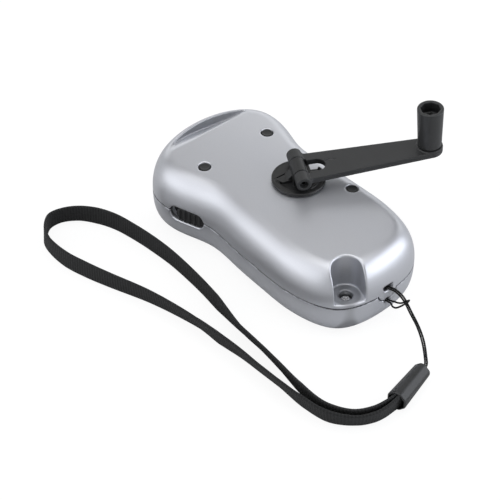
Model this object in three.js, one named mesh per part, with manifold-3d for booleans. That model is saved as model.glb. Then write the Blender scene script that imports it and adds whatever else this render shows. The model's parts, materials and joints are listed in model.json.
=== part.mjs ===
// Hand crank flashlight: a waisted two-part shell with a folding crank, a geared generator,
// a lens at the front, a slide switch on the side and a wrist strap tied to an eye at the tail.
// Millimetres, +Z up. The flat underside lies on z = 0, +X is the lens end, +Y the switch side.
import * as THREE from "three";
import { mergeVertices } from "three/addons/utils/BufferGeometryUtils.js";
import Module from "manifold-3d";

const wasm = await Module();
wasm.setup();

// Clearances and overrun
const fitGap = 0.3;
const cutOverrun = 4;

// Body shells
const bodyLength = 104;
const bodyWidth = 56.4;
const bodyHeight = 28.4;
const partingShare = 0.472;
const partingGap = 0.3;
const shellWall = 2;
const topRound = 8.5;
const baseRound = 8.2;
const topCrown = 1.4;
const topRise = 0.6;
const topRoundPower = 2.27;
const baseRoundPower = 2.7;
const lipHeight = 1.4;
const lipThickness = 0.8;
// Control points of the half outline, from the lens end to the tail,
// as shares of half the length and half the width
const outlineShares = [
  [1.019, 0],
  [0.962, 0.617],
  [0.785, 1.018],
  [0.515, 1.011],
  [0.271, 0.794],
  [0.01, 0.872],
  [-0.367, 0.89],
  [-0.558, 0.908],
  [-0.96, 0.738],
  [-1.019, 0],
];
const outerSteps = 3;
const innerSteps = 2;
const capShares = [0.5];

// Thumb scoop behind the front rim
const scoopSetback = 12.4;
const scoopRim = 6.2;
const scoopDepth = 3.2;

// Lens, reflector and lamps
const lensShare = 0.585;
const lensHeight = 11.8;
const lensSetback = 0.5;
const lensFlangeWidth = 1.6;
const lensFlangeThickness = 1.2;
const reflectorDepth = 6.6;
const reflectorSetback = 8;
const cupPitchShare = 0.297;
const cupRadius = 4.3;
const ledRadius = 2.5;
const ledLength = 7.4;
const ledFlange = 0.45;
const ledFlangeThickness = 1;
const ledBoardThickness = 1.2;
const ledBoardMargin = 5;
const ledBoardHeight = 11;
const cradleThickness = 1.6;

// Switch on the side
const switchPlaceShare = 0.431;
const windowLength = 14.4;
const windowHeight = 6;
const sliderTravel = 2.4;
const sliderRecess = 0.5;
const sliderRibs = 5;
const sliderRibHeight = 0.7;
const sliderRibThickness = 0.7;
const sliderFlangeThickness = 0.8;
const sliderFlangeRim = 1.2;
const sliderFlangeDrop = 1.5;
const tongueLength = 2.2;
const tongueWidth = 1.6;
const switchBodyLength = 8.4;
const switchBodyDepth = 3;
const switchBodyHeight = 4;

// Crank hub, over the hole in the upper shell
const hubPlaceShares = [-0.0368, -0.18];
const hubRadius = 9.5;
const hubThickness = 1.2;
const hubRimWidth = 0.9;
const hubPocketDepth = 0.6;
const journalRadius = 5;
const journalCollar = 2;
const spigotRadius = 3.6;
const pinRise = 3.4;
const pinRadius = 1;
const earRadius = 2.65;
const lugWidth = 7.1;
const hubRibWidth = 1.2;
const hubScrewRadius = 1;
const hubScrewHead = 2.6;
const hubScrewHeadHeight = 1.3;
const hubScrewLength = 6;

// Crank arm and knob
const armAngle = -120;
const armTilt = 3.2;
const armShare = 0.45;
const armThickness = 1.8;
const forkWidth = 17.4;
const forkInset = 0.4;
const forkSlotLength = 9.4;
const forkSlotWidth = 6.2;
const armStartRadius = 6.85;
const armEndRadius = 4.6;
const earLead = 2.2;
const earHollow = 4.4;
const knobTopRadius = 4.8;
const knobBaseRadius = 4.4;
const knobHeight = 15.8;
const knobBoreRadius = 3.5;
const knobFloor = 5.5;
const knobEdge = 0.4;
const knobPostRadius = 1.9;
const knobScrewRadius = 0.9;
const knobScrewHead = 2.6;
const knobScrewHeadHeight = 1.4;

// Tail recess that takes the knob when the arm is folded over
const recessAngle = 157.9;
const recessSetback = 0.65;
const recessRadius = 5.4;
const recessWall = 1.5;
const recessFloor = 1.3;

// Shell screws and the plugs over three of them: share of half the length, and margin from the side
const frontPlugShare = 0.49;
const rearPlugShare = -0.323;
const frontPlugMargin = 13.5;
const rearPlugMargin = 11.5;
const plugRadius = 2;
const plugThickness = 1.4;
const postRadius = 3.7;
const postLandHeight = 5;
const screwRadius = 1;
const screwHeadRadius = 2;
const screwHeadHeight = 1.5;
const screwLength = 12;
const recessScrewLength = 7;
const counterboreDepth = 3.6;
const recessBossDrop = 3;

// Gear train
const moduleShare = 0.0072;
const driveTeeth = 32;
const wheelTeeth = 24;
const pinionTeeth = 8;
const gearWidthShare = 0.113;
const layerGap = 1;
const meshPlay = 0.12;
const gearHeadroom = 1;
const firstAxleAngle = 150;
const secondAxleAngle = 195;
const rotorAngle = 230;
const axleRadius = 0.8;
const axleBossRadius = 2;
const webThickness = 1.2;
const gearRimWidth = 1.4;
const toothTipShare = 0.17;
const toothRootShare = 0.6;
const addendumShare = 0.8;
const dedendumShare = 1.15;

// Generator and the plate that carries the gears
const plateThickness = 1.6;
const plateGap = 0.8;
const plateArm = 7;
const plateLegAngles = [100, -20];
const statorShare = 0.1136;
const statorBoreShare = 0.62;
const statorHeightShare = 0.714;
const magnetGap = 0.7;
const magnetHeightShare = 0.8;
const statorWall = 1;
const plateBossRadius = 2.6;
const rotorBossHeight = 1.6;

// Cells and charging board
const cellShare = 0.397;
const cellThickness = 5.8;
const cellCount = 3;
const cellGap = 0.3;
const cellBoardGap = 0.6;
const cellY = 0.5;
const tabWidth = 5;
const tabThickness = 0.4;
const tabHeightShare = 0.78;
const boardLength = 9;
const boardPostGap = 3;
const boardThickness = 1.4;
const boardRibGap = 0.8;
const boardStand = 2.6;
const capacitorRadius = 2.5;
const capacitorLength = 6;

// Eye at the tail and the tab that bridges it
const eyeY = -0.5;
const eyeDrop = 1;
const eyeRingRadius = 2.9;
const eyeTunnelHeight = 2.1;
const eyeTunnelWidth = 3.3;
const tabRadius = 4;
const tabDepth = 2.2;

// String, sleeve and strap
const stringDiameter = 0.6;
const sleeveFrontWidth = 5.9;
const sleeveRearWidth = 6.8;
const sleeveFrontHeight = 6.2;
const sleeveRearHeight = 7.6;
const sleeveCorner = 1.6;
const strapWidth = 7.2;
const strapThickness = 1.1;
const strapEdgeRound = 0.35;
const stringSteps = 92;
const strapSteps = 50;
const floorGap = 0.25;
const sleeveStart = [-26.5, 9];
const sleeveEnd = [-31.2, 26.2];
// Route of the strap on the floor, from one leg at the sleeve to the other; X counts from the tail
const strapPoints = [
  [-29.7, 27], [-30.6, 31], [-29.2, 35.4], [-25.2, 39], [-17.6, 42.3], [-7, 44.1], [6, 43.4],
  [16.5, 42.4], [26.5, 41.5], [41.5, 39.5], [53, 37.9], [68.5, 36.8], [78, 37.4], [88, 38.6],
  [98, 40.4], [105, 43.2], [110.5, 47.4], [113.7, 53], [113.9, 58], [111.5, 62], [108, 64.6],
  [103, 65.6], [93.5, 65.4], [84, 63.4], [75, 60.7], [58, 55], [38.4, 50.7], [29, 50], [18, 49.6],
  [9, 49.3], [0, 48.8], [-10.5, 47.6], [-20.8, 45.4], [-28.6, 41.4], [-33, 37], [-34.1, 31.6],
  [-33.1, 26.15],
];
// Route of the doubled string: from the sleeve, round the bridge with its hitch loop, and back.
// X counts from the tail, and height from the floor or, round the eye, from the middle of the eye
const stringOut = [
  [-26.05, 8.6, 3.35], [-25.45, 7, 3.35], [-22.6, 4.2, 3.35], [-17.15, -0.05, 3.6], [-11.7, -3.1, 4.4],
  [-6.7, -4.65, 6.1],
];
const stringRoundEye = [
  [-4.1, -4.95, -4.1], [-2.9, -4.5, -2.4], [-1.9, -3.3, -0.2], [-1.05, -1.7, 1.8], [-0.3, -0.5, 2.75],
  [0.6, 0, 2.9], [2.35, 0, 2.05], [3.2, 0, 0], [2.35, 0, -2.05], [0.6, -0.1, -2.9],
  [-1, -1.2, -4], [-1.7, -1.4, -5.1], [-2.4, -2.3, -5.8], [-3.4, -3.3, -5.1], [-4.4, -4.3, -3.9],
  [-4.85, -5.3, -3.3], [-4.4, -6.5, -3.5], [-3.4, -6.4, -4.6], [-2.4, -4.7, -5.1], [-0.9, -2.6, -4.1],
  [0.6, -0.95, -2.9], [2.35, -1, -2.05], [3.2, -1, 0], [2.35, -1, 2.05], [0.6, -1, 2.9],
  [-0.4, -1.35, 2.9], [-1.3, -2.3, 2.15], [-2.15, -3.85, 0.15], [-3.05, -5.15, -2.15],
  [-4.2, -5.65, -4.05],
];
const stringBack = [
  [-6.9, -5.35, 6.1], [-12, -3.7, 4.4], [-17.55, -0.65, 3.6], [-23, 3.7, 3.35], [-25.95, 6.5, 3.35],
  [-26.75, 8.4, 3.35],
];

// Values worked out from the sizes above
const radians = Math.PI / 180;
const halfLength = bodyLength / 2;
const halfWidth = bodyWidth / 2;
const partingHeight = partingShare * bodyHeight;
const upperStart = partingHeight + partingGap / 2;
const lowerEnd = partingHeight - partingGap / 2;
const innerTop = bodyHeight - shellWall - topCrown;
const eyeHeight = partingHeight - eyeDrop;
const hubX = hubPlaceShares[0] * halfLength;
const hubY = hubPlaceShares[1] * halfWidth;
const hubCentre = new THREE.Vector2(hubX, hubY);
const hubBase = bodyHeight + fitGap;
const hubTop = hubBase + hubThickness;
const pinHeight = hubTop + pinRise;
const armLength = armShare * bodyLength;
const gearModule = moduleShare * bodyLength;
const gearWidth = gearWidthShare * (innerTop - shellWall);
const driveTop = innerTop - gearHeadroom;
const driveBottom = driveTop - gearWidth;
const secondTop = driveBottom - layerGap;
const thirdTop = secondTop - gearWidth - layerGap;
const thirdBottom = thirdTop - gearWidth;
const plateTop = thirdBottom - plateGap;
const plateBottom = plateTop - plateThickness;
const statorOuter = statorShare * Math.sqrt(bodyLength * bodyWidth);
const statorInner = statorBoreShare * statorOuter;
const statorHeight = statorHeightShare * (plateBottom - shellWall);
const statorTop = plateBottom - fitGap;
const statorBottom = statorTop - statorHeight;
const magnetRadius = statorInner - magnetGap;
const magnetHeight = magnetHeightShare * statorHeight;
const reflectorFront = halfLength - reflectorSetback;
const reflectorBack = reflectorFront - reflectorDepth;
const lampHeight = partingHeight;
const lensWidth = lensShare * bodyWidth;
const ledBoardWidth = lensWidth - ledBoardMargin;
const cellRadius = cellShare * (driveBottom - shellWall);
const frontPlugY = halfWidth - frontPlugMargin;
const boardWidth = 2 * (frontPlugY - postRadius - boardPostGap);
const screwPlaces = [
  new THREE.Vector2(frontPlugShare * halfLength, frontPlugY),
  new THREE.Vector2(frontPlugShare * halfLength, -frontPlugY),
  new THREE.Vector2(rearPlugShare * halfLength, rearPlugMargin - halfWidth),
];
const recessCentre = along(hubCentre, recessAngle, armLength - recessSetback);
const axleOne = along(hubCentre, firstAxleAngle, centreDistance(driveTeeth));
const axleTwo = along(axleOne, secondAxleAngle, centreDistance(wheelTeeth));
const rotorCentre = along(axleTwo, rotorAngle, centreDistance(wheelTeeth));

// Materials
const silverPaint = { color: 0xa9abb1, roughness: 0.32, metalness: 0.75 };
const blackPlastic = { color: 0x232326, roughness: 0.42, metalness: 0 };
const steel = { color: 0xb4b6b8, roughness: 0.3, metalness: 1 };
const clearPlastic = { color: 0xe8f0f4, roughness: 0.08, metalness: 0, transparent: true, opacity: 0.35 };
const mirrorPlate = { color: 0xdcdee0, roughness: 0.1, metalness: 1 };
const whiteNylon = { color: 0xe6e3da, roughness: 0.5, metalness: 0 };
const greenBoard = { color: 0x23613a, roughness: 0.5, metalness: 0 };
const copperWire = { color: 0xa8572c, roughness: 0.4, metalness: 0.8 };
const ferrite = { color: 0x35353a, roughness: 0.6, metalness: 0.3 };
const warmLed = { color: 0xf4f2dc, roughness: 0.15, metalness: 0 };
const greenWrap = { color: 0x2e7d4c, roughness: 0.35, metalness: 0 };
const blackWebbing = { color: 0x1a1a1c, roughness: 0.85, metalness: 0 };

// Places and numbers

function along(start, angle, distance) {
  const a = angle * radians;
  return new THREE.Vector2(start.x + Math.cos(a) * distance, start.y + Math.sin(a) * distance);
}

function pitchRadius(teeth) {
  return (gearModule * teeth) / 2;
}

function centreDistance(teeth) {
  return pitchRadius(teeth) + pitchRadius(pinionTeeth) + meshPlay;
}

// Joining and cutting

// Closed solid of a geometry, with its faces pointing out whichever way its profile ran
function solid(geometry) {
  const bare = geometry.index ? geometry.toNonIndexed() : geometry.clone();
  bare.deleteAttribute("normal");
  bare.deleteAttribute("uv");
  const welded = mergeVertices(bare);
  const vertProperties = new Float32Array(welded.attributes.position.array);
  const triVerts = withoutSlivers(welded.index.array);
  const made = new wasm.Manifold(new wasm.Mesh({ numProp: 3, vertProperties, triVerts }));
  if (made.volume() > 0) {
    return made;
  }
  const turned = triVerts.slice();
  for (let i = 0; i < turned.length; i += 3) {
    turned[i] = triVerts[i + 1];
    turned[i + 1] = triVerts[i];
  }
  return new wasm.Manifold(new wasm.Mesh({ numProp: 3, vertProperties, triVerts: turned }));
}

// Triangles with three different corners; a turned profile has folded ones on its axis
function withoutSlivers(index) {
  const kept = [];
  for (let i = 0; i < index.length; i += 3) {
    const [a, b, c] = [index[i], index[i + 1], index[i + 2]];
    if (a !== b && b !== c && c !== a) {
      kept.push(a, b, c);
    }
  }
  return new Uint32Array(kept);
}

function geometryOf(shape) {
  const mesh = shape.getMesh();
  const geometry = new THREE.BufferGeometry();
  const positions = [];
  for (let i = 0; i < mesh.numVert; i += 1) {
    const at = i * mesh.numProp;
    positions.push(mesh.vertProperties[at], mesh.vertProperties[at + 1], mesh.vertProperties[at + 2]);
  }
  geometry.setAttribute("position", new THREE.Float32BufferAttribute(positions, 3));
  geometry.setIndex(Array.from(mesh.triVerts));
  geometry.computeVertexNormals();
  return geometry;
}

function joined(shapes) {
  return shapes.reduce((sum, shape) => sum.add(shape));
}

function cut(shape, cutters) {
  return cutters.reduce((rest, cutter) => rest.subtract(cutter), shape);
}

// Basic forms, each standing on the XY plane between two heights

function prism(points, bottom, top, holes = []) {
  const shape = new THREE.Shape(points);
  holes.forEach((hole) => shape.holes.push(new THREE.Path(hole)));
  const geometry = new THREE.ExtrudeGeometry(shape, { depth: top - bottom, bevelEnabled: false });
  return solid(geometry.translate(0, 0, bottom));
}

function rod(radius, bottom, top, centre = new THREE.Vector2(), sides = 12) {
  const geometry = new THREE.CylinderGeometry(radius, radius, top - bottom, sides);
  geometry.rotateX(Math.PI / 2).translate(centre.x, centre.y, (bottom + top) / 2);
  return solid(geometry);
}

function turned(profile, sides = 16) {
  const points = profile.map(([radius, height]) => new THREE.Vector2(radius, height));
  return solid(new THREE.LatheGeometry(points, sides).rotateX(Math.PI / 2));
}

function box(sizeX, sizeY, sizeZ, x, y, z) {
  return solid(new THREE.BoxGeometry(sizeX, sizeY, sizeZ).translate(x, y, z));
}

function stadiumPoints(length, height, steps = 6) {
  const radius = height / 2;
  const straight = length / 2 - radius;
  const points = [];
  [1, -1].forEach((side) => {
    for (let i = 0; i <= steps; i += 1) {
      const angle = -Math.PI / 2 + (Math.PI * i) / steps + (side < 0 ? Math.PI : 0);
      points.push(new THREE.Vector2(side * straight + Math.cos(angle) * radius, Math.sin(angle) * radius));
    }
  });
  return points;
}

// Extruded stadium whose length runs along Y and whose axis runs along X
function crossStadium(length, height, from, to, z) {
  const depth = to - from;
  const shape = new THREE.Shape(stadiumPoints(length, height));
  const geometry = new THREE.ExtrudeGeometry(shape, { depth, bevelEnabled: false });
  const toAxes = new THREE.Matrix4().makeBasis(
    new THREE.Vector3(0, 1, 0),
    new THREE.Vector3(0, 0, 1),
    new THREE.Vector3(1, 0, 0),
  );
  return solid(geometry.applyMatrix4(toAxes).translate(from, 0, z));
}

// Closed body through rings of equal count, with a flat or crowned end on each side
function loft(rings) {
  const count = rings[0].length;
  const positions = [];
  rings.forEach((ring) => ring.forEach((p) => positions.push(p.x, p.y, p.z)));
  const index = [];
  for (let r = 0; r + 1 < rings.length; r += 1) {
    for (let i = 0; i < count; i += 1) {
      const a = r * count + i;
      const b = r * count + ((i + 1) % count);
      index.push(a, b, b + count, a, b + count, a + count);
    }
  }
  [0, rings.length - 1].forEach((r) => {
    const middle = new THREE.Vector3();
    rings[r].forEach((p) => middle.addScaledVector(p, 1 / count));
    const centre = positions.length / 3;
    positions.push(middle.x, middle.y, middle.z);
    for (let i = 0; i < count; i += 1) {
      const a = r * count + i;
      const b = r * count + ((i + 1) % count);
      index.push(...(r === 0 ? [b, a, centre] : [a, b, centre]));
    }
  });
  const geometry = new THREE.BufferGeometry();
  geometry.setAttribute("position", new THREE.Float32BufferAttribute(positions, 3));
  geometry.setIndex(index);
  return solid(geometry);
}

// Body outline

function outlineControls() {
  const side = outlineShares.map(([x, y]) => new THREE.Vector2(x * halfLength, y * halfWidth));
  const other = side.slice(1, -1).reverse();
  return [...side, ...other.map((p) => new THREE.Vector2(p.x, -p.y))];
}

// Point and inward direction on the closed cubic spline of the outline
function outlinePoint(controls, span, t) {
  const [a, b, c, d] = [0, 1, 2, 3].map((k) => controls[(span + k) % controls.length]);
  const s = 1 - t;
  const place = new THREE.Vector2()
    .addScaledVector(a, s ** 3 / 6)
    .addScaledVector(b, (3 * t ** 3 - 6 * t ** 2 + 4) / 6)
    .addScaledVector(c, (-3 * t ** 3 + 3 * t ** 2 + 3 * t + 1) / 6)
    .addScaledVector(d, t ** 3 / 6);
  const slope = new THREE.Vector2()
    .addScaledVector(a, (-s * s) / 2)
    .addScaledVector(b, (3 * t ** 2 - 4 * t) / 2)
    .addScaledVector(c, (-3 * t ** 2 + 2 * t + 1) / 2)
    .addScaledVector(d, (t * t) / 2)
    .normalize();
  return { place, inward: new THREE.Vector2(-slope.y, slope.x) };
}

// Outline drawn in by a distance; what lies inside the walls takes fewer points
function bodyLoop(inset) {
  const steps = inset < shellWall / 4 ? outerSteps : innerSteps;
  return outlineLoop(inset, steps);
}

function outlineLoop(inset, steps) {
  const controls = outlineControls();
  const loop = [];
  for (let span = 0; span < controls.length; span += 1) {
    for (let step = 0; step < steps; step += 1) {
      const { place, inward } = outlinePoint(controls, span, step / steps);
      loop.push(place.addScaledVector(inward, inset));
    }
  }
  return loop;
}

// Half-width side of the outline at a given place along the body, on the +Y side
function sideAt(x) {
  const controls = outlineControls();
  let best = null;
  for (let span = 0; span < controls.length; span += 1) {
    for (let t = 0; t < 1; t += 1 / 64) {
      const found = outlinePoint(controls, span, t);
      const miss = Math.abs(found.place.x - x);
      if (found.place.y > 0 && (best === null || miss < best.miss)) {
        best = { ...found, miss };
      }
    }
  }
  return best;
}

function topHeight(p) {
  return bodyHeight + (topRise * p.x) / halfLength - topCrown * (p.y / halfWidth) ** 2;
}

function atHeight(loop, height) {
  return loop.map((p) => new THREE.Vector3(p.x, p.y, typeof height === "function" ? height(p) : height));
}

// Upper half of the body, drawn in by a wall and started at a given height
function upperBody(wall, start, rounds) {
  const steps = wall > 0 ? innerSteps : outerSteps;
  const rings = start < partingHeight ? [atHeight(outlineLoop(wall, steps), start)] : [];
  for (let k = 0; k <= rounds; k += 1) {
    const u = 1 - Math.cos(((k / rounds) * Math.PI) / 2);
    const rise = (1 - (1 - u) ** topRoundPower) ** (1 / topRoundPower);
    const height = (p) => partingHeight + (topHeight(p) - wall - partingHeight) * rise;
    const level = k === 0 ? Math.max(start, partingHeight) : height;
    rings.push(atHeight(outlineLoop(wall + u * topRound, steps), level));
  }
  const last = outlineLoop(wall + topRound, steps);
  capShares.forEach((share) => {
    const drawnIn = last.map((p) => p.clone().multiplyScalar(share));
    rings.push(atHeight(drawnIn, (p) => topHeight(p) - wall));
  });
  return loft(rings);
}

// Lower half of the body, drawn in by a wall, ending at a given height
function lowerBody(wall, end, rounds) {
  const steps = wall > 0 ? innerSteps : outerSteps;
  const rings = [];
  const depth = partingHeight - wall;
  for (let k = rounds; k >= 0; k -= 1) {
    const u = 1 - Math.cos(((k / rounds) * Math.PI) / 2);
    const drop = (1 - (1 - u) ** baseRoundPower) ** (1 / baseRoundPower);
    const height = k === 0 ? Math.min(end, partingHeight) : partingHeight - depth * drop;
    rings.push(atHeight(outlineLoop(wall + u * baseRound, steps), height));
  }
  if (end > partingHeight) {
    rings.push(atHeight(outlineLoop(wall, steps), end));
  }
  return loft(rings);
}

// Both halves in one piece, drawn in by a wall
function wholeBody(wall) {
  const meet = shellWall;
  return upperBody(wall, partingHeight - meet, 2).add(lowerBody(wall, partingHeight + meet, 2));
}

// Cutters that the two shells share

// Space of the knob recess, drawn out by a wall, from a floor height up
function recessSpace(wall, floor) {
  const radius = recessRadius + wall;
  const reach = bodyLength;
  const well = rod(radius, floor, bodyHeight + cutOverrun, new THREE.Vector2(), 24);
  const way = box(reach, 2 * radius, bodyHeight + cutOverrun - floor, reach / 2, 0, 0);
  const lift = (bodyHeight + cutOverrun + floor) / 2;
  return joined([well, way.translate([0, 0, lift])])
    .rotate([0, 0, recessAngle])
    .translate([recessCentre.x, recessCentre.y, 0]);
}

// Scoop with a sloping floor, between the chord and the front rim, drawn out by a wall
function scoopSpace(wall) {
  const scoopChordX = halfLength - scoopSetback;
  const level = topHeight(new THREE.Vector2(scoopChordX, 0));
  const reach = scoopSetback - scoopRim;
  const slope = scoopDepth / reach;
  const start = scoopChordX - wall;
  const end = scoopChordX + reach + wall;
  const low = level - wall;
  const profile = [
    new THREE.Vector2(start, low),
    new THREE.Vector2(end, low - slope * (end - start)),
    new THREE.Vector2(end, level + cutOverrun),
    new THREE.Vector2(start, level + cutOverrun),
  ];
  const shape = new THREE.Shape(profile);
  const geometry = new THREE.ExtrudeGeometry(shape, { depth: bodyWidth, bevelEnabled: false });
  const wedge = solid(geometry.rotateX(Math.PI / 2).translate(0, bodyWidth / 2, 0));
  return prism(bodyLoop(scoopRim - wall), partingHeight, bodyHeight + cutOverrun).intersect(wedge);
}

function lensSpace(grow, from) {
  const length = lensWidth + 2 * grow;
  return crossStadium(length, lensHeight + 2 * grow, from, halfLength + cutOverrun, lampHeight);
}

// Frame of the side wall at the switch: its middle and the turn of its outward direction
function switchFrame() {
  const { place, inward } = sideAt(switchPlaceShare * halfLength);
  const turn = Math.atan2(-inward.y, -inward.x) - Math.PI / 2;
  return { place, turn };
}

// Puts a shape drawn with X along the wall and Y outwards onto the side wall
function onSide(shape) {
  const { place, turn } = switchFrame();
  return shape.rotate([0, 0, turn / radians]).translate([place.x, place.y, partingHeight]);
}

// Stadium prism through the side wall, from one depth to another along the outward direction
function sideStadium(length, height, from, to) {
  const shape = new THREE.Shape(stadiumPoints(length, height));
  const geometry = new THREE.ExtrudeGeometry(shape, { depth: to - from, bevelEnabled: false });
  return solid(geometry.rotateX(Math.PI / 2).translate(0, to, 0));
}

// Curved tunnel behind the tail bridge, as a bent box round the Y axis
function eyeTunnel() {
  const inner = eyeRingRadius - eyeTunnelHeight / 2;
  const outer = eyeRingRadius + eyeTunnelHeight / 2;
  const half = eyeTunnelWidth / 2;
  const ring = turned(
    [
      [inner, -half],
      [outer, -half],
      [outer, half],
      [inner, half],
      [inner, -half],
    ],
    20,
  );
  return ring.rotate([90, 0, 0]).translate([-halfLength + fitGap, eyeY, eyeHeight]);
}

// Half disc that hangs from the upper shell over the lower one, in front of the tunnel
function eyeTab(grow) {
  const radius = tabRadius + grow;
  const depth = tabDepth + grow;
  const disc = rod(radius, 0, depth, new THREE.Vector2(), 24).rotate([0, -90, 0]);
  return disc.translate([-halfLength + tabDepth, eyeY, upperStart + tabDepth / 4]);
}

function plugPocket(place) {
  const top = topHeight(place);
  return joined([
    rod(plugRadius + fitGap, postFloor(), top + cutOverrun, place),
    rod(screwRadius + fitGap, partingHeight - cutOverrun, postFloor() + fitGap, place, 8),
  ]);
}

function postFloor() {
  return upperStart + postLandHeight;
}

// Sub-parts of the shells

function upperShell() {
  const cavity = upperBody(shellWall, partingHeight - cutOverrun, 3);
  const floorTop = upperStart + recessFloor;
  const fromRim = [
    recessSpace(recessWall, upperStart - cutOverrun),
    ...screwPlaces.map((place) => rod(postRadius, upperStart, bodyHeight, place, 10)),
    eyeBlock(),
  ];
  const fromTop = [
    scoopSpace(shellWall),
    rod(journalRadius + journalCollar, driveTop + fitGap, bodyHeight, hubCentre, 20),
    rod(axleBossRadius, driveTop + fitGap, bodyHeight, axleOne, 8),
    rod(axleBossRadius, secondTop + fitGap, bodyHeight, axleTwo, 8),
  ];
  const outer = cut(upperBody(0, upperStart, 5), [scoopSpace(0), recessSpace(0, floorTop)]);
  const rebate = prism(bodyLoop(shellWall - lipThickness - fitGap), 0, upperStart + lipHeight + fitGap);
  const shell = cut(outer, [
    cut(cavity, [...fromRim, ...fromTop]),
    cut(rebate, fromRim),
    rod(journalRadius + fitGap, driveTop, bodyHeight + cutOverrun, hubCentre, 20),
    rod(axleRadius + fitGap, secondTop, innerTop + fitGap, axleTwo, 8),
    rod(axleRadius + fitGap, driveTop, innerTop + fitGap, axleOne, 8),
    ...screwPlaces.map(plugPocket),
    lensSpace(0, reflectorFront - cutOverrun),
    onSide(sideStadium(windowLength, windowHeight, -cutOverrun, cutOverrun)),
  ]);
  const tab = eyeTab(0).intersect(lowerBody(0, upperStart + fitGap, 4));
  return cut(joined([shell, tab, recessBoss()]), [eyeTunnel(), recessScrewHole(floorTop)]);
}

// Solid block behind the tail wall for the tunnel to run through
function eyeBlock() {
  const depth = eyeRingRadius + eyeTunnelHeight / 2 + shellWall;
  const height = 2 * depth;
  return box(depth, eyeTunnelWidth + 2 * shellWall, height, -halfLength + depth / 2, eyeY, eyeHeight);
}

// Boss under the recess floor that reaches into the lower shell and seats the screw head
function recessBoss() {
  return rod(postRadius - recessWall / 2, upperStart - recessBossDrop, upperStart + fitGap, recessCentre);
}

function recessScrewHole(floorTop) {
  return joined([
    rod(screwRadius + fitGap, partingHeight - cutOverrun, floorTop, recessCentre, 10),
    rod(screwHeadRadius + fitGap, floorTop - counterboreDepth, floorTop + fitGap, recessCentre),
  ]);
}

function lowerPosts() {
  const foot = shellWall / 2;
  const pilot = screwRadius + fitGap;
  const places = [...screwPlaces, recessCentre];
  const posts = places.map((place) => rod(postRadius - recessWall / 2, foot, lowerEnd, place, 10));
  const holes = places.map((place) => rod(pilot, shellWall, lowerEnd + fitGap, place, 8));
  const low = lowerEnd - recessBossDrop;
  const bossRoom = rod(postRadius + fitGap, low, lowerEnd + cutOverrun, recessCentre);
  return { posts, holes: [...holes, bossRoom] };
}

function lowerShell() {
  const { posts, holes } = lowerPosts();
  const outer = lowerBody(0, lowerEnd, 4);
  const cavity = cut(lowerBody(shellWall, partingHeight + cutOverrun, 3), [
    eyeBlock(),
    ...posts,
    ...plateLegs(),
    rotorBoss(),
    ...boardLegs(),
    ...lampCradle(),
    ...cellCradle(),
    statorSeat(),
    switchStand(),
  ]);
  const lipBottom = lowerEnd - lipHeight;
  const lipTop = lowerEnd + lipHeight;
  const lip = prism(bodyLoop(shellWall - lipThickness), lipBottom, lipTop, [
    bodyLoop(shellWall + fitGap / 2),
  ]);
  const lipClear = [
    recessSpace(recessWall + fitGap, lowerEnd),
    ...screwPlaces.map((place) => rod(postRadius + fitGap, lowerEnd, lipTop + fitGap, place)),
    eyeBlock(),
    eyeBlock().translate([fitGap, 0, 0]),
  ];
  const shell = cut(outer, [cavity]).add(cut(lip, lipClear));
  return cut(shell, [
    ...holes,
    rotorPocket(),
    lensSpace(0, reflectorFront - cutOverrun),
    onSide(sideStadium(windowLength, windowHeight, -cutOverrun, cutOverrun)),
    onSide(switchRoom()),
    eyeTab(fitGap),
    eyeTunnel(),
  ]);
}

// Room behind the lip for the slider's flange
function switchRoom() {
  const length = windowLength + 2 * sliderTravel + 2 * fitGap;
  const height = windowHeight + 2 * sliderFlangeRim;
  const front = -shellWall - sliderFlangeDrop + 2 * fitGap;
  return sideStadium(length, height, -shellWall - cutOverrun, front);
}

function rotorBoss() {
  return rod(plateBossRadius, shellWall / 2, shellWall + rotorBossHeight, rotorCentre, 10);
}

// Low ring under the bobbin
function statorSeat() {
  const outer = circlePoints(statorOuter - statorWall, 16);
  const inner = circlePoints(statorInner, 12);
  const ring = prism(outer, shellWall / 2, statorBottom - fitGap, [inner]);
  return ring.translate([rotorCentre.x, rotorCentre.y, 0]);
}

function rotorPocket() {
  return rod(axleRadius + fitGap, shellWall, shellWall + rotorBossHeight + fitGap, rotorCentre, 8);
}

function plateLegPlaces() {
  const clear = statorOuter + plateBossRadius + fitGap;
  return [
    ...plateLegAngles.map((angle) => along(rotorCentre, angle, clear)),
    along(axleOne, firstAxleAngle - 180, plateArm - plateBossRadius),
  ];
}

function plateLegs() {
  return plateLegPlaces().map((place) => rod(plateBossRadius, shellWall / 2, plateBottom - fitGap, place, 8));
}

function boardLegPlaces() {
  return [1, -1].map((side) => new THREE.Vector2(boardX(), (side * boardWidth) / 4));
}

// The board stands behind the lamps, and the cells behind the board
function boardX() {
  const front = ledBoardX() - ledBoardThickness / 2 - fitGap - cradleThickness - boardRibGap;
  return front - boardLength / 2;
}

function cellX() {
  return boardX() - boardLength / 2 - cellBoardGap - cellRadius;
}

function boardLegs() {
  const top = shellWall + boardStand;
  return boardLegPlaces().map((place) => rod(axleBossRadius, shellWall / 2, top, place, 8));
}

// Ribs under the reflector and on both sides of the lamp board
function lampCradle() {
  const width = ledBoardWidth - 2 * cupRadius;
  const low = shellWall / 2;
  const reflectorLow = lampHeight - lensHeight / 2 - fitGap + cradleThickness / 2;
  const boardBack = ledBoardX() - ledBoardThickness / 2;
  const boardFront = ledBoardX() + ledBoardThickness / 2;
  const rib = (x, top) => box(cradleThickness, width, top - low, x, 0, (top + low) / 2);
  const boardLow = lampHeight - ledBoardHeight / 2;
  return [
    rib(reflectorFront - reflectorDepth / 2, reflectorLow - fitGap),
    rib(boardBack - fitGap - cradleThickness / 2, boardLow + cradleThickness),
    rib(boardFront + fitGap + cradleThickness / 2, boardLow + cradleThickness),
    rib(ledBoardX(), boardLow - fitGap),
  ];
}

function ledBoardX() {
  return reflectorBack - 2 * fitGap - 2 * ledFlangeThickness - ledBoardThickness / 2;
}

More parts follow.
